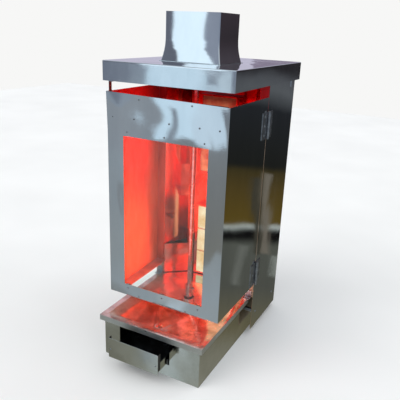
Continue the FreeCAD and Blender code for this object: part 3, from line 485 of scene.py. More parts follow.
def fastener_heads(node, name, key, shape):
    """A turned head for each small disc in a node; shape is (radius share, height share) points."""
    bm = bmesh.new()
    for low, high in islands(node):
        size = high - low
        axis = min("xyz", key=lambda letter: size[AXES[letter]])
        rise = size[AXES[axis]]
        radius = max(size) / 2
        middle = (low + high) / 2
        sign = 1 if middle[AXES[axis]] > 0 else -1
        foot = middle.copy()
        foot[AXES[axis]] -= sign * rise / 2
        head = bmesh.new()
        lathe(head, [(r * radius, h * rise) for r, h in shape], 18)
        join_copies(bm, head, [towards(axis, sign, foot)])
    return finish_piece(bm, name, [node], [key])


def hang(light, place, turn, mirrored):
    """Hangs a light in the scene, and says whether the steel mirrors it."""
    lamp = bpy.data.objects.new(light.name, light)
    lamp.location = place
    lamp.rotation_euler = turn
    lamp.visible_glossy = mirrored
    bpy.context.scene.collection.objects.link(lamp)
    return lamp


# What the steel mirrors, in degrees: bearing from -Y towards -X, height above the horizon, and colour
MIRRORED_FRONT = [
    (27.3, 33.6, -12.0, -3.4, "#bfd6e5"),
    (24.6, 34.2, -3.4, 60.0, "#dff2ff"),
    (34.4, 44.0, -3.4, 60.0, "#5f636f"),
    (19.0, 24.4, -3.4, 60.0, "#7f8796"),
    (23.6, 25.3, -9.0, -4.0, "#b7c8d4"),
    (24.6, 27.8, -12.6, -7.4, "#b9ccda"),
    (30.4, 31.4, -12.5, -9.4, "#7f8993"),
    (32.8, 41.5, -14.0, -7.6, "#848b92"),
    (34.5, 36.0, -24.0, -16.0, "#7b8084"),
    (28.0, 32.0, -31.0, -28.0, "#9aa1a4"),
    (31.2, 34.0, -37.0, -32.5, "#7c8a98"),
    (28.8, 31.0, -40.0, -31.0, "#a9b5bd"),
    (36.0, 42.0, -39.0, -32.5, "#6f7069"),
    (120.0, 176.0, -2.0, 40.0, "#a9a6b7"),
    (158.0, 170.0, 1.5, 5.5, "#776f80"),
]
MIRRORED_REAR = [
    (-161.2, -160.3, -24.2, -15.6, "#686258"),
    (-160.2, -159.2, -24.4, -16.2, "#38362e"),
    (-158.4, -157.6, -28.0, -23.5, "#62645e"),
    (-164.0, -161.8, -27.0, -24.4, "#767a74"),
]
# Shares of a head's radius and height
PAN_HEAD = [
    (1.0, 0.0), (1.0, 0.35), (0.92, 0.7), (0.7, 0.92), (0.45, 1.0), (0.34, 1.0), (0.3, 0.55), (0.0, 0.45)]
BLIND_RIVET = [
    (1.0, 0.0), (0.97, 0.3), (0.82, 0.65), (0.55, 0.95), (0.36, 1.0), (0.3, 0.5), (0.12, 0.4), (0.0, 0.75)]
# Radius and height in millimetres
STRAINER = [
    (0.0, 3.4), (4, 3.2), (5, 2.5), (8, 2.2), (9, 2.6), (13, 1.6), (14.5, 0.2), (13.5, 0.0), (0.0, 1.2)]


# -------- stage, view and finishes

class BROILER_OT_stage(bpy.types.Operator):
    """Lays the pale floor, hangs the soft lights and paints the surroundings."""

    bl_idname = "broiler.stage"
    bl_label = "Stage"

    def execute(self, context):
        self.make_floor(context)
        self.make_surroundings(context.scene)
        self.hang_light("key", (-1.6, -2.6, 3.4), 50.0, 1.2, "#ffffff")
        self.hang_light("fill", (2.6, 1.6, 3.0), 70.0, 0.7, "#f4f7ff")
        context.scene.view_settings.view_transform = "Standard"
        return {"FINISHED"}

    def make_floor(self, context):
        """A pale floor that the steel does not mirror and the glow does not tint."""
        bm = bmesh.new()
        bmesh.ops.create_grid(bm, x_segments=1, y_segments=1, size=6.0)
        mesh = bpy.data.meshes.new("studio_floor")
        bm.to_mesh(mesh)
        bm.free()
        floor = bpy.data.objects.new("studio_floor", mesh)
        context.scene.collection.objects.link(floor)
        made, tree, place = new_tree("painted_studio_floor")
        cloudy = add(tree, "TexNoise", {"Vector": place, "Scale": 1.5, "Detail": 2.0})
        tint = add(tree, "ValToRGB", {"Fac": cloudy}, stops=[(0.3, "#eeeeed"), (0.7, "#f4f4f3")])
        mesh.materials.append(finish_tree(made, {"Base Color": tint, "Roughness": 0.7}))
        floor.visible_glossy = False
        plain = bpy.data.collections.new("kept_plain")
        plain.objects.link(floor)
        plain.collection_objects[0].light_linking.link_state = "EXCLUDE"

    def hang_light(self, name, place, spread, power, colour):
        """A broad, soft light from one side; the steel mirrors the surroundings instead of it."""
        light = bpy.data.lights.new(name, "SUN")
        light.angle = math.radians(spread)
        light.energy = power
        light.color = linear(colour)[:3]
        away = Vector((0, 0, 0.5)) - Vector(place)
        hang(light, place, away.to_track_quat("-Z", "Y").to_euler(), False)

    def make_surroundings(self, scene):
        """What the polished steel mirrors: a pale doorway and a grey yard in front, a dim workshop behind."""
        scene.world = bpy.data.worlds.new("surroundings")
        scene.world.use_nodes = True
        tree = scene.world.node_tree
        tree.nodes.clear()
        way = (add(tree, "TexCoord", {}), "Generated")
        parts = add(tree, "SeparateXYZ", {"Vector": way})
        wander = add(tree, "TexNoise", {"Vector": way, "Scale": 9.0, "Detail": 1.0})
        shift = add(tree, "SeparateColor", {"Color": (wander, "Color")})
        west = add(tree, "Math", {0: (parts, "X"), 1: -1.0}, operation="MULTIPLY")
        south = add(tree, "Math", {0: (parts, "Y"), 1: -1.0}, operation="MULTIPLY")
        bearing = add(tree, "Math", {0: west, 1: south}, operation="ARCTAN2")
        tilt = add(tree, "Math", {0: (parts, "Z")}, operation="ARCSINE")
        turn = self.wavy(tree, bearing, (shift, "Red"))
        rise = self.wavy(tree, tilt, (shift, "Green"))
        level = add(tree, "MapRange", {"Value": rise, **ends(-45.0, 15.0)})
        yard = add(tree, "ValToRGB", {"Fac": level}, stops=[
            (0.0, "#a9a9a2"), (1.0, "#aab2ba"), (0.10, "#7b7c74"), (0.18, "#7d7e76"), (0.25, "#7a7f80"),
            (0.33, "#6f706c"), (0.45, "#6e7172"), (0.56, "#757b80"), (0.63, "#69707c"), (0.78, "#70788a")])
        clouds = add(tree, "TexNoise", {"Vector": way, "Scale": 6.0, "Detail": 1.0})
        share = add(tree, "MapRange", {"Value": clouds, **ends(0.52, 0.55, 0.0, 0.3)})
        seen = (add(tree, "Mix", {0: share, 6: yard, 7: linear("#a9b8c3")}, data_type="RGBA"), 2)
        for patch in MIRRORED_FRONT:
            seen = self.paint(tree, seen, turn, rise, *patch)
        shop = add(tree, "ValToRGB", {"Fac": level}, stops=[
            (0.0, "#8c8c84"), (1.0, "#4a454c"), (0.16, "#6b6a60"), (0.2, "#5c5846"), (0.28, "#474842"),
            (0.36, "#4a4c46"), (0.372, "#0e0e0e"), (0.386, "#101010"), (0.389, "#949a95"), (0.394, "#949a95"),
            (0.398, "#51421a"), (0.46, "#45391d"), (0.492, "#37301c"), (0.502, "#1b1c1a"), (0.61, "#202225"),
            (0.64, "#505356"), (0.66, "#4a4c50"), (0.68, "#242326"), (0.765, "#332d32")])
        for patch in MIRRORED_REAR:
            shop = self.paint(tree, shop, turn, rise, *patch)
        inside = self.band(tree, turn, -173.0, -137.0, 3.0)
        around = (add(tree, "Mix", {0: inside, 6: seen, 7: shop}, data_type="RGBA"), 2)
        path = add(tree, "LightPath", {})
        glossy = (path, "Is Glossy Ray")
        lit = (add(tree, "Mix", {0: glossy, 6: linear("#dddfe0"), 7: around}, data_type="RGBA"), 2)
        seen_first = {0: (path, "Is Camera Ray"), 6: lit, 7: linear("#f7f7f6")}
        shown = (add(tree, "Mix", seen_first, data_type="RGBA"), 2)
        gain = add(tree, "MapRange", {"Value": glossy, **ends(0.0, 1.0, 1.0, 1.4)})
        surface = add(tree, "Background", {"Color": shown, "Strength": gain})
        add(tree, "OutputWorld", {"Surface": surface})

    def wavy(self, tree, angle, shift):
        """An angle in degrees, wandering a little so that what is mirrored has uneven edges."""
        whole = add(tree, "Math", {0: angle}, operation="DEGREES")
        drift = add(tree, "MapRange", {"Value": shift, **ends(0.0, 1.0, -1.0, 1.0)})
        return add(tree, "Math", {0: whole, 1: drift}, operation="ADD")

    def band(self, tree, angle, low, high, soft):
        """The share, from 0 to 1, that lies between two angles, with soft ends."""
        start = add(tree, "MapRange", {"Value": angle, **ends(low - soft, low + soft)},
                    interpolation_type="SMOOTHSTEP")
        end = add(tree, "MapRange", {"Value": angle, **ends(high + soft, high - soft)},
                  interpolation_type="SMOOTHSTEP")
        return add(tree, "Math", {0: start, 1: end}, operation="MULTIPLY")

    def paint(self, tree, under, turn, rise, start, end, low, high, colour):
        """Paints a patch between two bearings and two heights, in degrees, over what is there."""
        soft = 0.14
        across = self.band(tree, turn, start, end, soft)
        upward = self.band(tree, rise, low, high, soft)
        share = add(tree, "Math", {0: across, 1: upward}, operation="MULTIPLY")
        return (add(tree, "Mix", {0: share, 6: under, 7: linear(colour)}, data_type="RGBA"), 2)


class BROILER_OT_view(bpy.types.Operator):
    """Stands the camera above and to the right of the window."""

    bl_idname = "broiler.view"
    bl_label = "View"

    def execute(self, context):
        view = context.scene.broiler_view
        data = bpy.data.cameras.new("viewer")
        data.sensor_width = 36.0
        data.lens = view.lens
        camera = bpy.data.objects.new("viewer", data)
        level = math.cos(view.pitch)
        forward = Vector((-math.sin(view.yaw) * level, math.cos(view.yaw) * level, -math.sin(view.pitch)))
        right = Vector((math.cos(view.yaw), math.sin(view.yaw), 0.0))
        up = right.cross(forward)
        across = math.cos(view.roll) * right + math.sin(view.roll) * up
        above = -math.sin(view.roll) * right + math.cos(view.roll) * up
        turn = Matrix((across, above, -forward)).transposed().to_4x4()
        camera.matrix_world = Matrix.Translation(view.place) @ turn
        context.scene.collection.objects.link(camera)
        context.scene.camera = camera
        return {"FINISHED"}


class BROILER_OT_finishes(bpy.types.Operator):
    """Makes the finishes: polished, brushed and heat-tinted steel, ceramics, castings and mouldings."""

    bl_idname = "broiler.finishes"
    bl_label = "Finishes"

    def execute(self, context):
        sheet = context.scene.broiler_sheet
        glow = context.scene.broiler_glow
        hot = ("#ffdc9c", glow.hot)
        warm = ("#ff4a34", glow.warm)
        sooty = "#2c1c12"
        MATERIALS.update({
            "polished": polished_stainless(
                "polished_304_sheet", (sheet.polished, "#dfe2e4"), (0.02, 0.07), 0.3 * MM),
            "hooded": polished_stainless("wiped_304_sheet", ("#cdd1d4", "#dfe2e4"), (0.04, 0.12), 0.35 * MM),
            "brushed": brushed_stainless("brushed_304_sheet", (sheet.brushed, "#dedfd8"), (0.05, 0.13)),
            "rim": brushed_stainless("satin_304_rim", ("#c6c6c2", "#e2e2de"), (0.34, 0.5)),
            "chamber": tinted_stainless("heat_tinted_304_sheet", 0.5, (0.25, 0.5)),
            "lining": tinted_stainless(
                "heat_tinted_door_lining", 0.12, (0.35, 0.5), ("#b0845e", "#dcb890", "#c99c74")),
            "mirror": tinted_stainless(
                "heat_tinted_reflector_sheet", 0.9, (0.06, 0.14), ("#a05a4a", "#ffd8c6", "#e4aa98"),
                0.5 * MM),
            "pan": tinted_stainless(
                "greasy_pressed_304_sheet", 0.85, (0.08, 0.2), ("#806c62", "#f0e2d8", "#c8b8ac"), 3.5 * MM),
            "hem": tinted_stainless("soiled_hem_sheet", 0.15, (0.4, 0.6), ("#7c7b74", "#c4c3ba", "#a19f97")),
            # Painted shade of the drawer bay: near-black and dark grey tones streaked with blue-grey
            "tray": tinted_stainless(
                "greasy_tray_sheet", 0.85, (0.15, 0.35), ("#1c1a18", "#7f8c96", "#3f4346")),
            # Near-black painted shade for the drawer plate's returns, where the bay beside the plate lies in
            # shade
            "painted_shade_black": moulded("baked_grease_on_steel", ("#0e0c0a", "#2a241d"), 0.3),
            "hot": glowing_plaque("red_hot_cordierite", hot, glow.hot_power, 0.12),
            "hot_pit": glowing_plaque("red_hot_cordierite_pits", hot, glow.hot_power * 1.25, 0.12),
            "warm": glowing_plaque("warm_cordierite", warm, glow.warm_power, 0.3, sooty),
            "warm_pit": glowing_plaque("warm_cordierite_pits", warm, glow.warm_power * 1.4, 0.3, sooty),
            "zinc": metal("zinc_plated_steel", ("#8a8d91", "#b6b9bc"), 0.32, 400.0, 0.15 * MM),
            "ground": metal("ground_stainless_bar", ("#a39f9a", "#c4c1bc"), 0.24, 500.0, 0.1 * MM),
            "cast": metal("cast_iron_skin", ("#3a3a3c", "#565658"), 0.6, 700.0, 0.4 * MM),
            "brass": metal("machined_brass", ("#8a6a30", "#c79f55"), 0.28, 500.0, 0.1 * MM),
            "bronze": metal("sintered_bronze", ("#6b4f2c", "#96713f"), 0.45, 600.0, 0.2 * MM),
            "pipe": moulded("black_pipe_paint", ("#101112", "#2b2b2c"), 0.35),
            "phenolic": moulded("black_phenolic", ("#0b0b0c", "#2e2e2f"), 0.3),
            "nylon": moulded("black_nylon", ("#08090a", "#242425"), 0.3),
            "ferrite": moulded("ferrite_magnet", ("#1a1918", "#33312f"), 0.5),
            "inlay": moulded("white_inlay_paint", ("#d9d7d0", "#efeee9"), 0.4),
            "glass": toughened_glass(),
        })
        return {"FINISHED"}


# -------- hood and flue

class BROILER_OT_hood(bpy.types.Operator):
    """Folds the hood from one bowed sheet, and adds its gussets."""

    bl_idname = "broiler.hood"
    bl_label = "Hood"

    def execute(self, context):
        low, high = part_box("hood_shell")
        bm = box_mesh(low, high, ("-z",))
        inner_low, inner_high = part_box("chimney_collar")
        rim = 16.6 * MM + GAUGE
        cut_hole(bm, (inner_low.x + rim, inner_low.y + rim, high.z - 5 * MM),
                 (inner_high.x - rim, inner_high.y - rim, None))
        sheet_piece(bm, "hood_canopy", ["hood_shell"], 3.1, ("hooded", "chamber"),
                    warp=(0.7 * MM, 1.3 * MM, 2.0 * MM), scale=9.0)
        softened("hood_gussets", ["polished"])
        return {"FINISHED"}


class BROILER_OT_flue(bpy.types.Operator):
    """Stands the flared flue over its collar."""

    bl_idname = "broiler.flue"
    bl_label = "Flue"
    belly: FloatProperty(
        name="Belly", description="How far the flue's front and back bulge", default=2.2 * MM, unit="LENGTH")
    foot: FloatProperty(
        name="Foot", description="Height over which the flue's foot spreads", default=70 * MM, unit="LENGTH")

    def execute(self, context):
        low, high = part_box("chimney_duct")
        flare = 10 * MM
        bm = box_mesh((low.x + flare, low.y + flare, low.z), (high.x - flare, high.y - flare, high.z),
                      ("-z", "+z"))
        sheet_piece(bm, "flue_duct", ["chimney_duct"], 8.4, ("polished", "hooded"),
                    warp=(0.4 * MM, 0.5 * MM, 0.0), scale=11.0,
                    shape=lambda made: self.flare_foot(made, low, high, flare))
        softened("chimney_collar", ["hooded"])
        return {"FINISHED"}

    def flare_foot(self, bm, low, high, flare):
        """Spreads the foot in a curve and bulges the front and back."""
        middle = (low + high) / 2
        half = (high - low) / 2
        for vert in bm.verts:
            away = vert.co - middle
            down = max(0.0, 1 - (vert.co.z - low.z) / self.foot)
            belly = self.belly * (1 - (away.x / (half.x - flare)) ** 2)
            vert.co.x += math.copysign(down * down * flare, away.x)
            vert.co.y += math.copysign(down * down * flare + belly, away.y)


# -------- door

class BROILER_OT_door(bpy.types.Operator):
    """Folds the door's front and sides from one sheet round the window, with its stiffeners inside."""

    bl_idname = "broiler.door"
    bl_label = "Door"

    def execute(self, context):
        low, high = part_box("door_front")
        glass_low, glass_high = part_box("window_glass")
        lap = 6 * MM
        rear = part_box("door_left")[1].y
        bm = box_mesh(low, (high.x, rear, high.z), ("-z", "+z", "+y"))
        for vert in bm.verts:
            if vert.co.y > 0:
                vert.co.y += 1.3 * MM  # narrows the gap that the glow shows through
        cut_hole(bm, (glass_low.x + lap, None, glass_low.z + lap),
                 (glass_high.x - lap, low.y + MM, glass_high.z - lap))
        self.hem_sides(bm, low.z)

        def on_hem(at):
            return at.z < low.z + 5 * MM and abs(at.x) < high.x - 3 * MM and at.y > low.y + 3 * MM

        sheet_piece(bm, "door_case", ["door_front", "door_left", "door_right"], 9.4,
                    ("polished", "lining", "hem"), hemmed=on_hem,
                    shape=lambda made: self.pull_corner(made, low, high, glass_high.z))
        soften_each(("door_returns", "polished", 0.3), ("door_brace", "chamber", 0.4),
                    ("door_catch", "zinc", 0.4))
        fastener_heads("door_rivets", "door_rivet_heads", "zinc", BLIND_RIVET)
        return {"FINISHED"}

    def pull_corner(self, bm, low, high, window_top):
        """Sets the door's left top corner a little up and out, as hand-folded sheet springs back."""
        lift = 9 * MM
        spread = 4 * MM
        for vert in bm.verts:
            up = max(0.0, (vert.co.z - window_top) / (high.z - window_top))
            left = (high.x - vert.co.x) / (high.x - low.x)
            vert.co.z += lift * up * left
            vert.co.x -= spread * up * left * float(vert.co.y < low.y + 2 * GAUGE)

    def hem_sides(self, bm, bottom):
        """Turns the side walls' bottom edges inwards, rising a little."""
        hem = 45 * MM
        rise = 2.5 * MM
        edges = [e for e in bm.edges if e.is_boundary and all(abs(v.co.z - bottom) < 1e-6 for v in e.verts)
                 and abs(e.verts[0].co.x - e.verts[1].co.x) < 1e-6]
        made = bmesh.ops.extrude_edge_only(bm, edges=edges)
        for vert in points(made["geom"]):
            vert.co.x -= math.copysign(hem, vert.co.x)
            vert.co.z += rise


class BROILER_OT_window(bpy.types.Operator):
    """Sets the pane behind the window, with its clips."""

    bl_idname = "broiler.window"
    bl_label = "Window"

    def execute(self, context):
        softened("window_glass", ["glass"], 0.5 * MM, 2, smooth=10.0)
        softened("glass_clips", ["zinc"], 0.3 * MM)
        return {"FINISHED"}


class BROILER_OT_hinges(bpy.types.Operator):
    """Eases the edges of the butt hinges' leaves and pins."""

    bl_idname = "broiler.hinges"
    bl_label = "Hinges"

    def execute(self, context):
        soften_each(("door_hinge_leaves", "zinc", 0.2, 2, ROUND), ("column_hinge_leaves", "zinc", 0.2, 2, ROUND),
                    ("hinge_pins", "ground", 0.4, 2, ROUND))
        return {"FINISHED"}


# -------- column

class BROILER_OT_column(bpy.types.Operator):
    """Folds the burner column's sides, and adds its back, feet and spacers."""

    bl_idname = "broiler.column"
    bl_label = "Column"

    def execute(self, context):
        for side, seed in (("left", 1.3), ("right", 6.2)):
            self.fold_side(side, seed)
        softened("column_back", ["polished", "chamber"], 0.3 * MM, second=lambda at, normal: normal.y < -0.5)
        softened("column_feet", ["zinc"], 0.5 * MM)
        softened("column_spacers", ["zinc"], 0.8 * MM, 2, ROUND)
        fastener_heads("column_screws", "column_screw_heads", "zinc", PAN_HEAD)
        return {"FINISHED"}

    def fold_side(self, side, seed):
        """A side wall with a front flange above the pan and a narrow one at the back."""
        low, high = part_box("column_" + side)
        sign = -1 if side == "left" else 1
        outer = low.x if sign < 0 else high.x
        flange_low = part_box("reflector_back")[0].z
        bm = box_mesh(low, high, ("-z", "+z", "+x" if sign < 0 else "-x"))
        rear_flange = 16 * MM
        rear_edge = outer - sign * rear_flange
        slice_along(bm, "z", [flange_low])
        slice_along(bm, "x", [rear_edge])
        gone = []
        for face in bm.faces:
            at = face.calc_center_median()
            across = abs(face.normal.y) > 0.9
            below = across and at.z < flange_low
            past = across and at.y > 0.2 and abs(at.x) < abs(rear_edge)
            if below or past:
                gone.append(face)
        bmesh.ops.delete(bm, geom=gone, context="FACES")
        loose = [v for v in bm.verts if not v.link_faces]
        bmesh.ops.delete(bm, geom=loose, context="VERTS")
        sheet_piece(bm, "burner_case_" + side, ["column_" + side], seed, fold=1.4 * MM,
                    heated=lambda at: at.y < low.y + 3 * MM)


class BROILER_OT_reflectors(bpy.types.Operator):
    """Hangs the splayed reflectors beside and behind the burners."""

    bl_idname = "broiler.reflectors"
    bl_label = "Reflectors"

    def execute(self, context):
        for node in ("reflector_left", "reflector_right", "low_reflectors", "reflector_back"):
            softened(node, ["mirror"], 0.3 * MM)
        return {"FINISHED"}


# -------- burners

class BROILER_OT_burners(bpy.types.Operator):
    """Casts the perforated plaques in their bezels and housings, and lights them."""

    bl_idname = "broiler.burners"
    bl_label = "Burners"

    def execute(self, context):
        for name, keys in (("lower", ("hot", "hot_pit")), ("upper", ("warm", "warm_pit"))):
            self.cast_plaques(name + "_burner_tiles", name + "_plaques", keys)
            softened(name + "_burner_frame", ["mirror"], 0.4 * MM)
            softened(name + "_burner_housing", ["mirror"], 0.4 * MM)
            low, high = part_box(name + "_burner_tiles")
            self.hang_glow(name, low, high, low.y - 12 * MM, turn=-90, spread=128)
        low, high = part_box("window_glass")
        self.hang_glow("bounce", low, high, high.y + 6 * MM, turn=90, spread=150)
        return {"FINISHED"}

    def cast_plaques(self, node, name, keys):
        bm = bmesh.new()
        for low, high in islands(node):
            self.cast_plaque(bm, low, high)
        finish_piece(bm, name, [node], keys)

    def cast_plaque(self, bm, low, high):
        """One plaque with a plain rim round its rows of pits; the real pits are finer than these."""
        size = high - low
        rim = 4 * MM
        before = set(bm.faces)
        turn = Matrix.Rotation(math.pi / 2, 4, "X")
        spread = Matrix.Diagonal((size.x - 2 * rim, size.z - 2 * rim, 1.0, 1.0))
        centre = Matrix.Translation(((low.x + high.x) / 2, low.y, (low.z + high.z) / 2))
        made = bmesh.ops.create_grid(
            bm, x_segments=22, y_segments=15, size=0.5, matrix=centre @ turn @ spread)
        cells = [f for f in bm.faces if f not in before]
        edges = [e for e in {edge for v in made["verts"] for edge in v.link_edges} if e.is_boundary]
        ring = bmesh.ops.extrude_edge_only(bm, edges=edges)["geom"]
        self.square_up(points(ring), low, high, rim)
        back = bmesh.ops.extrude_edge_only(bm, edges=open_edges(ring))["geom"]
        for vert in points(back):
            vert.co.y = high.y
        bmesh.ops.holes_fill(bm, edges=open_edges(back))
        bmesh.ops.inset_individual(bm, faces=cells, thickness=1.5 * MM, depth=0.0)
        floors = [f for f in cells if f.is_valid]
        bmesh.ops.inset_individual(bm, faces=floors, thickness=0.2 * MM, depth=-2.0 * MM)
        for face in floors:
            face.material_index = 1

    def square_up(self, verts, low, high, rim):
        """Moves the rim's points out to the plaque's outline."""
        middle = (low + high) / 2
        size = high - low
        for vert in verts:
            vert.co.x = middle.x + (vert.co.x - middle.x) * size.x / (size.x - 2 * rim)
            vert.co.z = middle.z + (vert.co.z - middle.z) * size.z / (size.z - 2 * rim)

    def hang_glow(self, name, low, high, depth, turn, spread):
        """A lamp as large as a box's front, at some depth, turned to face forwards (-90) or back (90)."""
        glow = bpy.context.scene.broiler_glow
        light = bpy.data.lights.new(name + "_glow", "AREA")
        light.shape = "RECTANGLE"
        light.size = high.x - low.x
        light.size_y = high.z - low.z
        light.energy = getattr(glow, name + "_power")
        light.color = linear(getattr(glow, name + "_lamp"))[:3]
        light.spread = math.radians(spread)
        middle = (low + high) / 2
        lamp = hang(light, (middle.x, depth, middle.z), (math.radians(turn), 0, 0), name == "bounce")
        lamp.visible_camera = False
        lamp.visible_transmission = False
        lamp.light_linking.receiver_collection = bpy.data.collections["kept_plain"]


class BROILER_OT_gas_train(bpy.types.Operator):
    """Pipes, jets, valves, mixing tubes and the gas inlet."""

    bl_idname = "broiler.gas_train"
    bl_label = "Gas train"

    def execute(self, context):
        soften_each(("gas_manifold", "pipe", 0.6, 2, ROUND), ("gas_jets", "brass", 0.4, 2, ROUND),
                    ("gas_valves", "brass", 0.7, 2, ROUND), ("gas_inlet", "brass", 0.6, 2, ROUND),
                    ("venturi_tubes", "cast", 0.5, 2, ROUND))
        return {"FINISHED"}


class BROILER_OT_knobs(bpy.types.Operator):
    """Moulds the two gas knobs: a dished, ribbed skirt with a pointer bar and a white line."""

    bl_idname = "broiler.knobs"
    bl_label = "Knobs"

    def execute(self, context):
        for name in ("lower_knob", "upper_knob"):
            self.mould(name)
        return {"FINISHED"}

    def mould(self, node):
        low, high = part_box(node)
        radius = (high.x - low.x) / 2
        skirt = 22 * MM
        deep = 30 * MM
        reach = high.y - deep - low.y
        bm = bmesh.new()
        lathe(bm, [(0.0, 0.0), (radius, 0.0), (radius, 3 * MM), (radius - 1.5 * MM, 4.5 * MM),
                   (radius - 3 * MM, skirt - 3 * MM), (radius - 5 * MM, skirt),
                   (radius - 8 * MM, skirt - 1 * MM), (0.0, skirt - 1.5 * MM)], 40)
        stem = bmesh.new()
        lathe(stem, [(0.0, -reach), (3.5 * MM, -reach), (3.5 * MM, 1 * MM), (0.0, 1 * MM)], 16)
        join_copies(bm, stem, [Matrix()])
        rib = box_mesh((-1.1 * MM, 0, 4 * MM), (1.1 * MM, 2.2 * MM, skirt - 4 * MM))
        ease_edges(rib, 0.7 * MM)
        out = Matrix.Translation((0, radius - 4.4 * MM, 0))
        join_copies(bm, rib, [Matrix.Rotation(math.radians(20 * i), 4, "Z") @ out for i in range(18)])
        bar = box_mesh((-4 * MM, 4 * MM - radius, skirt - 6 * MM), (4 * MM, radius - 4 * MM, deep))
        ease_edges(bar, 1.6 * MM, 3)
        join_copies(bm, bar, [Matrix()])
        black = set(bm.faces)
        line = box_mesh((-0.7 * MM, radius - 15 * MM, deep - 1 * MM),
                        (0.7 * MM, radius - 6 * MM, deep + 0.05 * MM))
        join_copies(bm, line, [Matrix()])
        for face in bm.faces:
            face.material_index = 0 if face in black else 1
        place = towards("y", 1, ((low.x + high.x) / 2, high.y - deep, (low.z + high.z) / 2))
        bmesh.ops.transform(bm, matrix=place, verts=bm.verts)
        finish_piece(bm, node + "_moulding", [node], ["phenolic", "inlay"])


# -------- spit and its drive

class BROILER_OT_spit(bpy.types.Operator):
    """Spit, socket, bearings, gearmotor and the bridge over them."""

    bl_idname = "broiler.spit"
    bl_label = "Spit"

    def execute(self, context):
        soften_each(("spit_rod", "ground", 0.8, 2, ROUND), ("spit_socket", "ground", 1.2, 3, ROUND),
                    ("drive_shaft", "ground", 0.4, 2, ROUND), ("clamp_screw", "zinc", 0.5),
                    ("upper_bush", "bronze", 0.6, 2, ROUND), ("lower_bearing", "bronze", 0.8, 2, ROUND),
                    ("top_bridge", "chamber", 0.5), ("motor_bracket", "zinc", 0.5),
                    ("gearmotor", "cast", 1.2, 3, ROUND))
        return {"FINISHED"}


# -------- base

class BROILER_OT_base(bpy.types.Operator):
    """Folds the base cabinet round its drawer bay, with its floor, deck and runners."""

    bl_idname = "broiler.base"
    bl_label = "Base"

    def execute(self, context):
        low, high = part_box("base_shell")
        plate_low, plate_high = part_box("drawer_front")
        play = 3 * MM
        head = 4 * MM
        bm = box_mesh(low, high, ("-z", "+z"))
        cut_hole(bm, (plate_low.x - play, None, plate_low.z - play),
                 (plate_high.x + play, low.y + MM, plate_high.z + head))
        sheet_piece(bm, "base_case", ["base_shell"], 2.9, ("brushed", "brushed"),
                    warp=(0.5 * MM, 0.8 * MM, 0.0))
        soften_each(("base_floor", "brushed", 0.3), ("base_deck", "brushed", 0.3),
                    ("drawer_runners", "zinc", 0.3))
        return {"FINISHED"}


class BROILER_OT_drip_pan(bpy.types.Operator):
    """Presses the drip pan, a bright lip and rim round a stained funnel, with a strainer on its drain."""

    bl_idname = "broiler.drip_pan"
    bl_label = "Drip pan"
    drain: FloatVectorProperty(
        name="Drain", description="Place of the drain under its strainer",
        default=(-24 * MM, -214 * MM), size=2, unit="LENGTH")
    cap_rise: FloatProperty(
        name="Strainer height", description="Height of the strainer over the pan's lowest point",
        default=1.4 * MM, unit="LENGTH")

    def execute(self, context):
        low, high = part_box("drip_pan")
        rim = 27 * MM
        rear_rim = 20 * MM

        def stained(at, normal):
            inside = abs(at.x) < high.x - rim and low.y + rim < at.y < high.y - rear_rim
            return inside or normal.z < -0.5

        softened("drip_pan", ["rim", "pan"], 0.45 * MM, second=stained)
        cap = bmesh.new()
        lathe(cap, [(radius * MM, height * MM) for radius, height in STRAINER], 32)
        bmesh.ops.translate(cap, vec=(*self.drain, low.z + self.cap_rise), verts=cap.verts)
        finish_piece(cap, "drain_strainer", ["drip_pan"], ["pan"])
        return {"FINISHED"}


class BROILER_OT_drawer(bpy.types.Operator):
    """Grease drawer: a face plate with returns, its tray and two screws."""

    bl_idname = "broiler.drawer"
    bl_label = "Drawer"

    def execute(self, context):
        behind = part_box("drawer_front")[0].y + 2 * GAUGE
        tray_low, tray_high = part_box("grease_tray")
        # The faces behind the plate, its returns and back, take the near-black painted shade of the bay
        softened("drawer_front", ["brushed", "painted_shade_black"], 0.5 * MM, second=lambda at, normal: at.y > behind)

        def outside(at, normal):
            within = tray_low.x + GAUGE / 2 < at.x < tray_high.x - GAUGE / 2
            return abs(normal.x) > 0.9 and not within

        # All but the tray's outer sides take the dark painted shade of the bay; the outer sides are brushed
        softened("grease_tray", ["tray", "brushed"], 0.4 * MM, second=outside)
        fastener_heads("drawer_screws", "drawer_screw_heads", "zinc", PAN_HEAD)
        return {"FINISHED"}


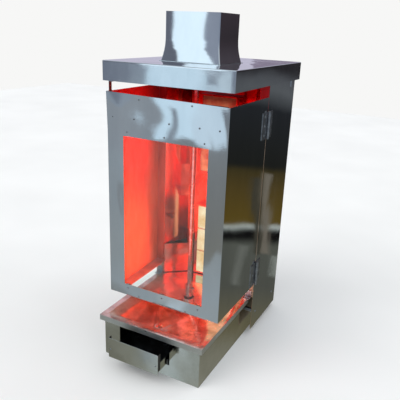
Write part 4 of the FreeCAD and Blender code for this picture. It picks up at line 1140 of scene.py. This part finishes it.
class BROILER_OT_electrics(bpy.types.Operator):
    """Switch and mains inlet on the back, and the door's magnet."""

    bl_idname = "broiler.electrics"
    bl_label = "Electrics"

    def execute(self, context):
        softened("switch_housing", ["nylon"], 0.5 * MM)
        softened("switch_rocker", ["nylon"], 0.8 * MM, 3, ROUND)
        low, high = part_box("power_inlet")
        middle = (low + high) / 2

        def pin(at, normal):
            deep = low.y + 5 * MM < at.y < high.y - 4 * MM
            return deep and abs(at.x - middle.x) < 8.2 * MM and abs(at.z - middle.z) < 5.2 * MM

        softened("power_inlet", ["nylon", "brass"], 0.35 * MM, second=pin)
        softened("catch_magnet", ["ferrite"], 0.5 * MM)
        return {"FINISHED"}


class BROILER_PT_panel(bpy.types.Panel):
    """Lists the broiler's settings and its pieces."""

    bl_idname = "BROILER_PT_panel"
    bl_label = "Broiler"
    bl_space_type = "VIEW_3D"
    bl_region_type = "UI"
    bl_category = "Broiler"

    def draw(self, context):
        for group in ("broiler_sheet", "broiler_glow", "broiler_view"):
            settings = getattr(context.scene, group)
            box = self.layout.box()
            for name in settings.__annotations__:
                box.prop(settings, name)
        for operator in OPERATORS:
            self.layout.operator(operator.bl_idname)


GROUPS = {"broiler_sheet": BroilerSheet, "broiler_glow": BroilerGlow, "broiler_view": BroilerView}
OPERATORS = [
    BROILER_OT_view, BROILER_OT_stage, BROILER_OT_finishes, BROILER_OT_hood, BROILER_OT_flue, BROILER_OT_door,
    BROILER_OT_window, BROILER_OT_hinges, BROILER_OT_column, BROILER_OT_reflectors, BROILER_OT_burners,
    BROILER_OT_gas_train, BROILER_OT_knobs, BROILER_OT_spit, BROILER_OT_base, BROILER_OT_drip_pan,
    BROILER_OT_drawer, BROILER_OT_electrics,
]


def register():
    for name, group in GROUPS.items():
        bpy.utils.register_class(group)
        setattr(bpy.types.Scene, name, bpy.props.PointerProperty(type=group))
    for operator in OPERATORS + [BROILER_PT_panel]:
        bpy.utils.register_class(operator)


def unregister():
    for operator in [BROILER_PT_panel] + OPERATORS[::-1]:
        bpy.utils.unregister_class(operator)
    for name, group in GROUPS.items():
        delattr(bpy.types.Scene, name)
        bpy.utils.unregister_class(group)


def main():
    register()
    for operator in OPERATORS:
        group, name = operator.bl_idname.split(".")
        getattr(getattr(bpy.ops, group), name)()


if __name__ == "__main__":
    main()
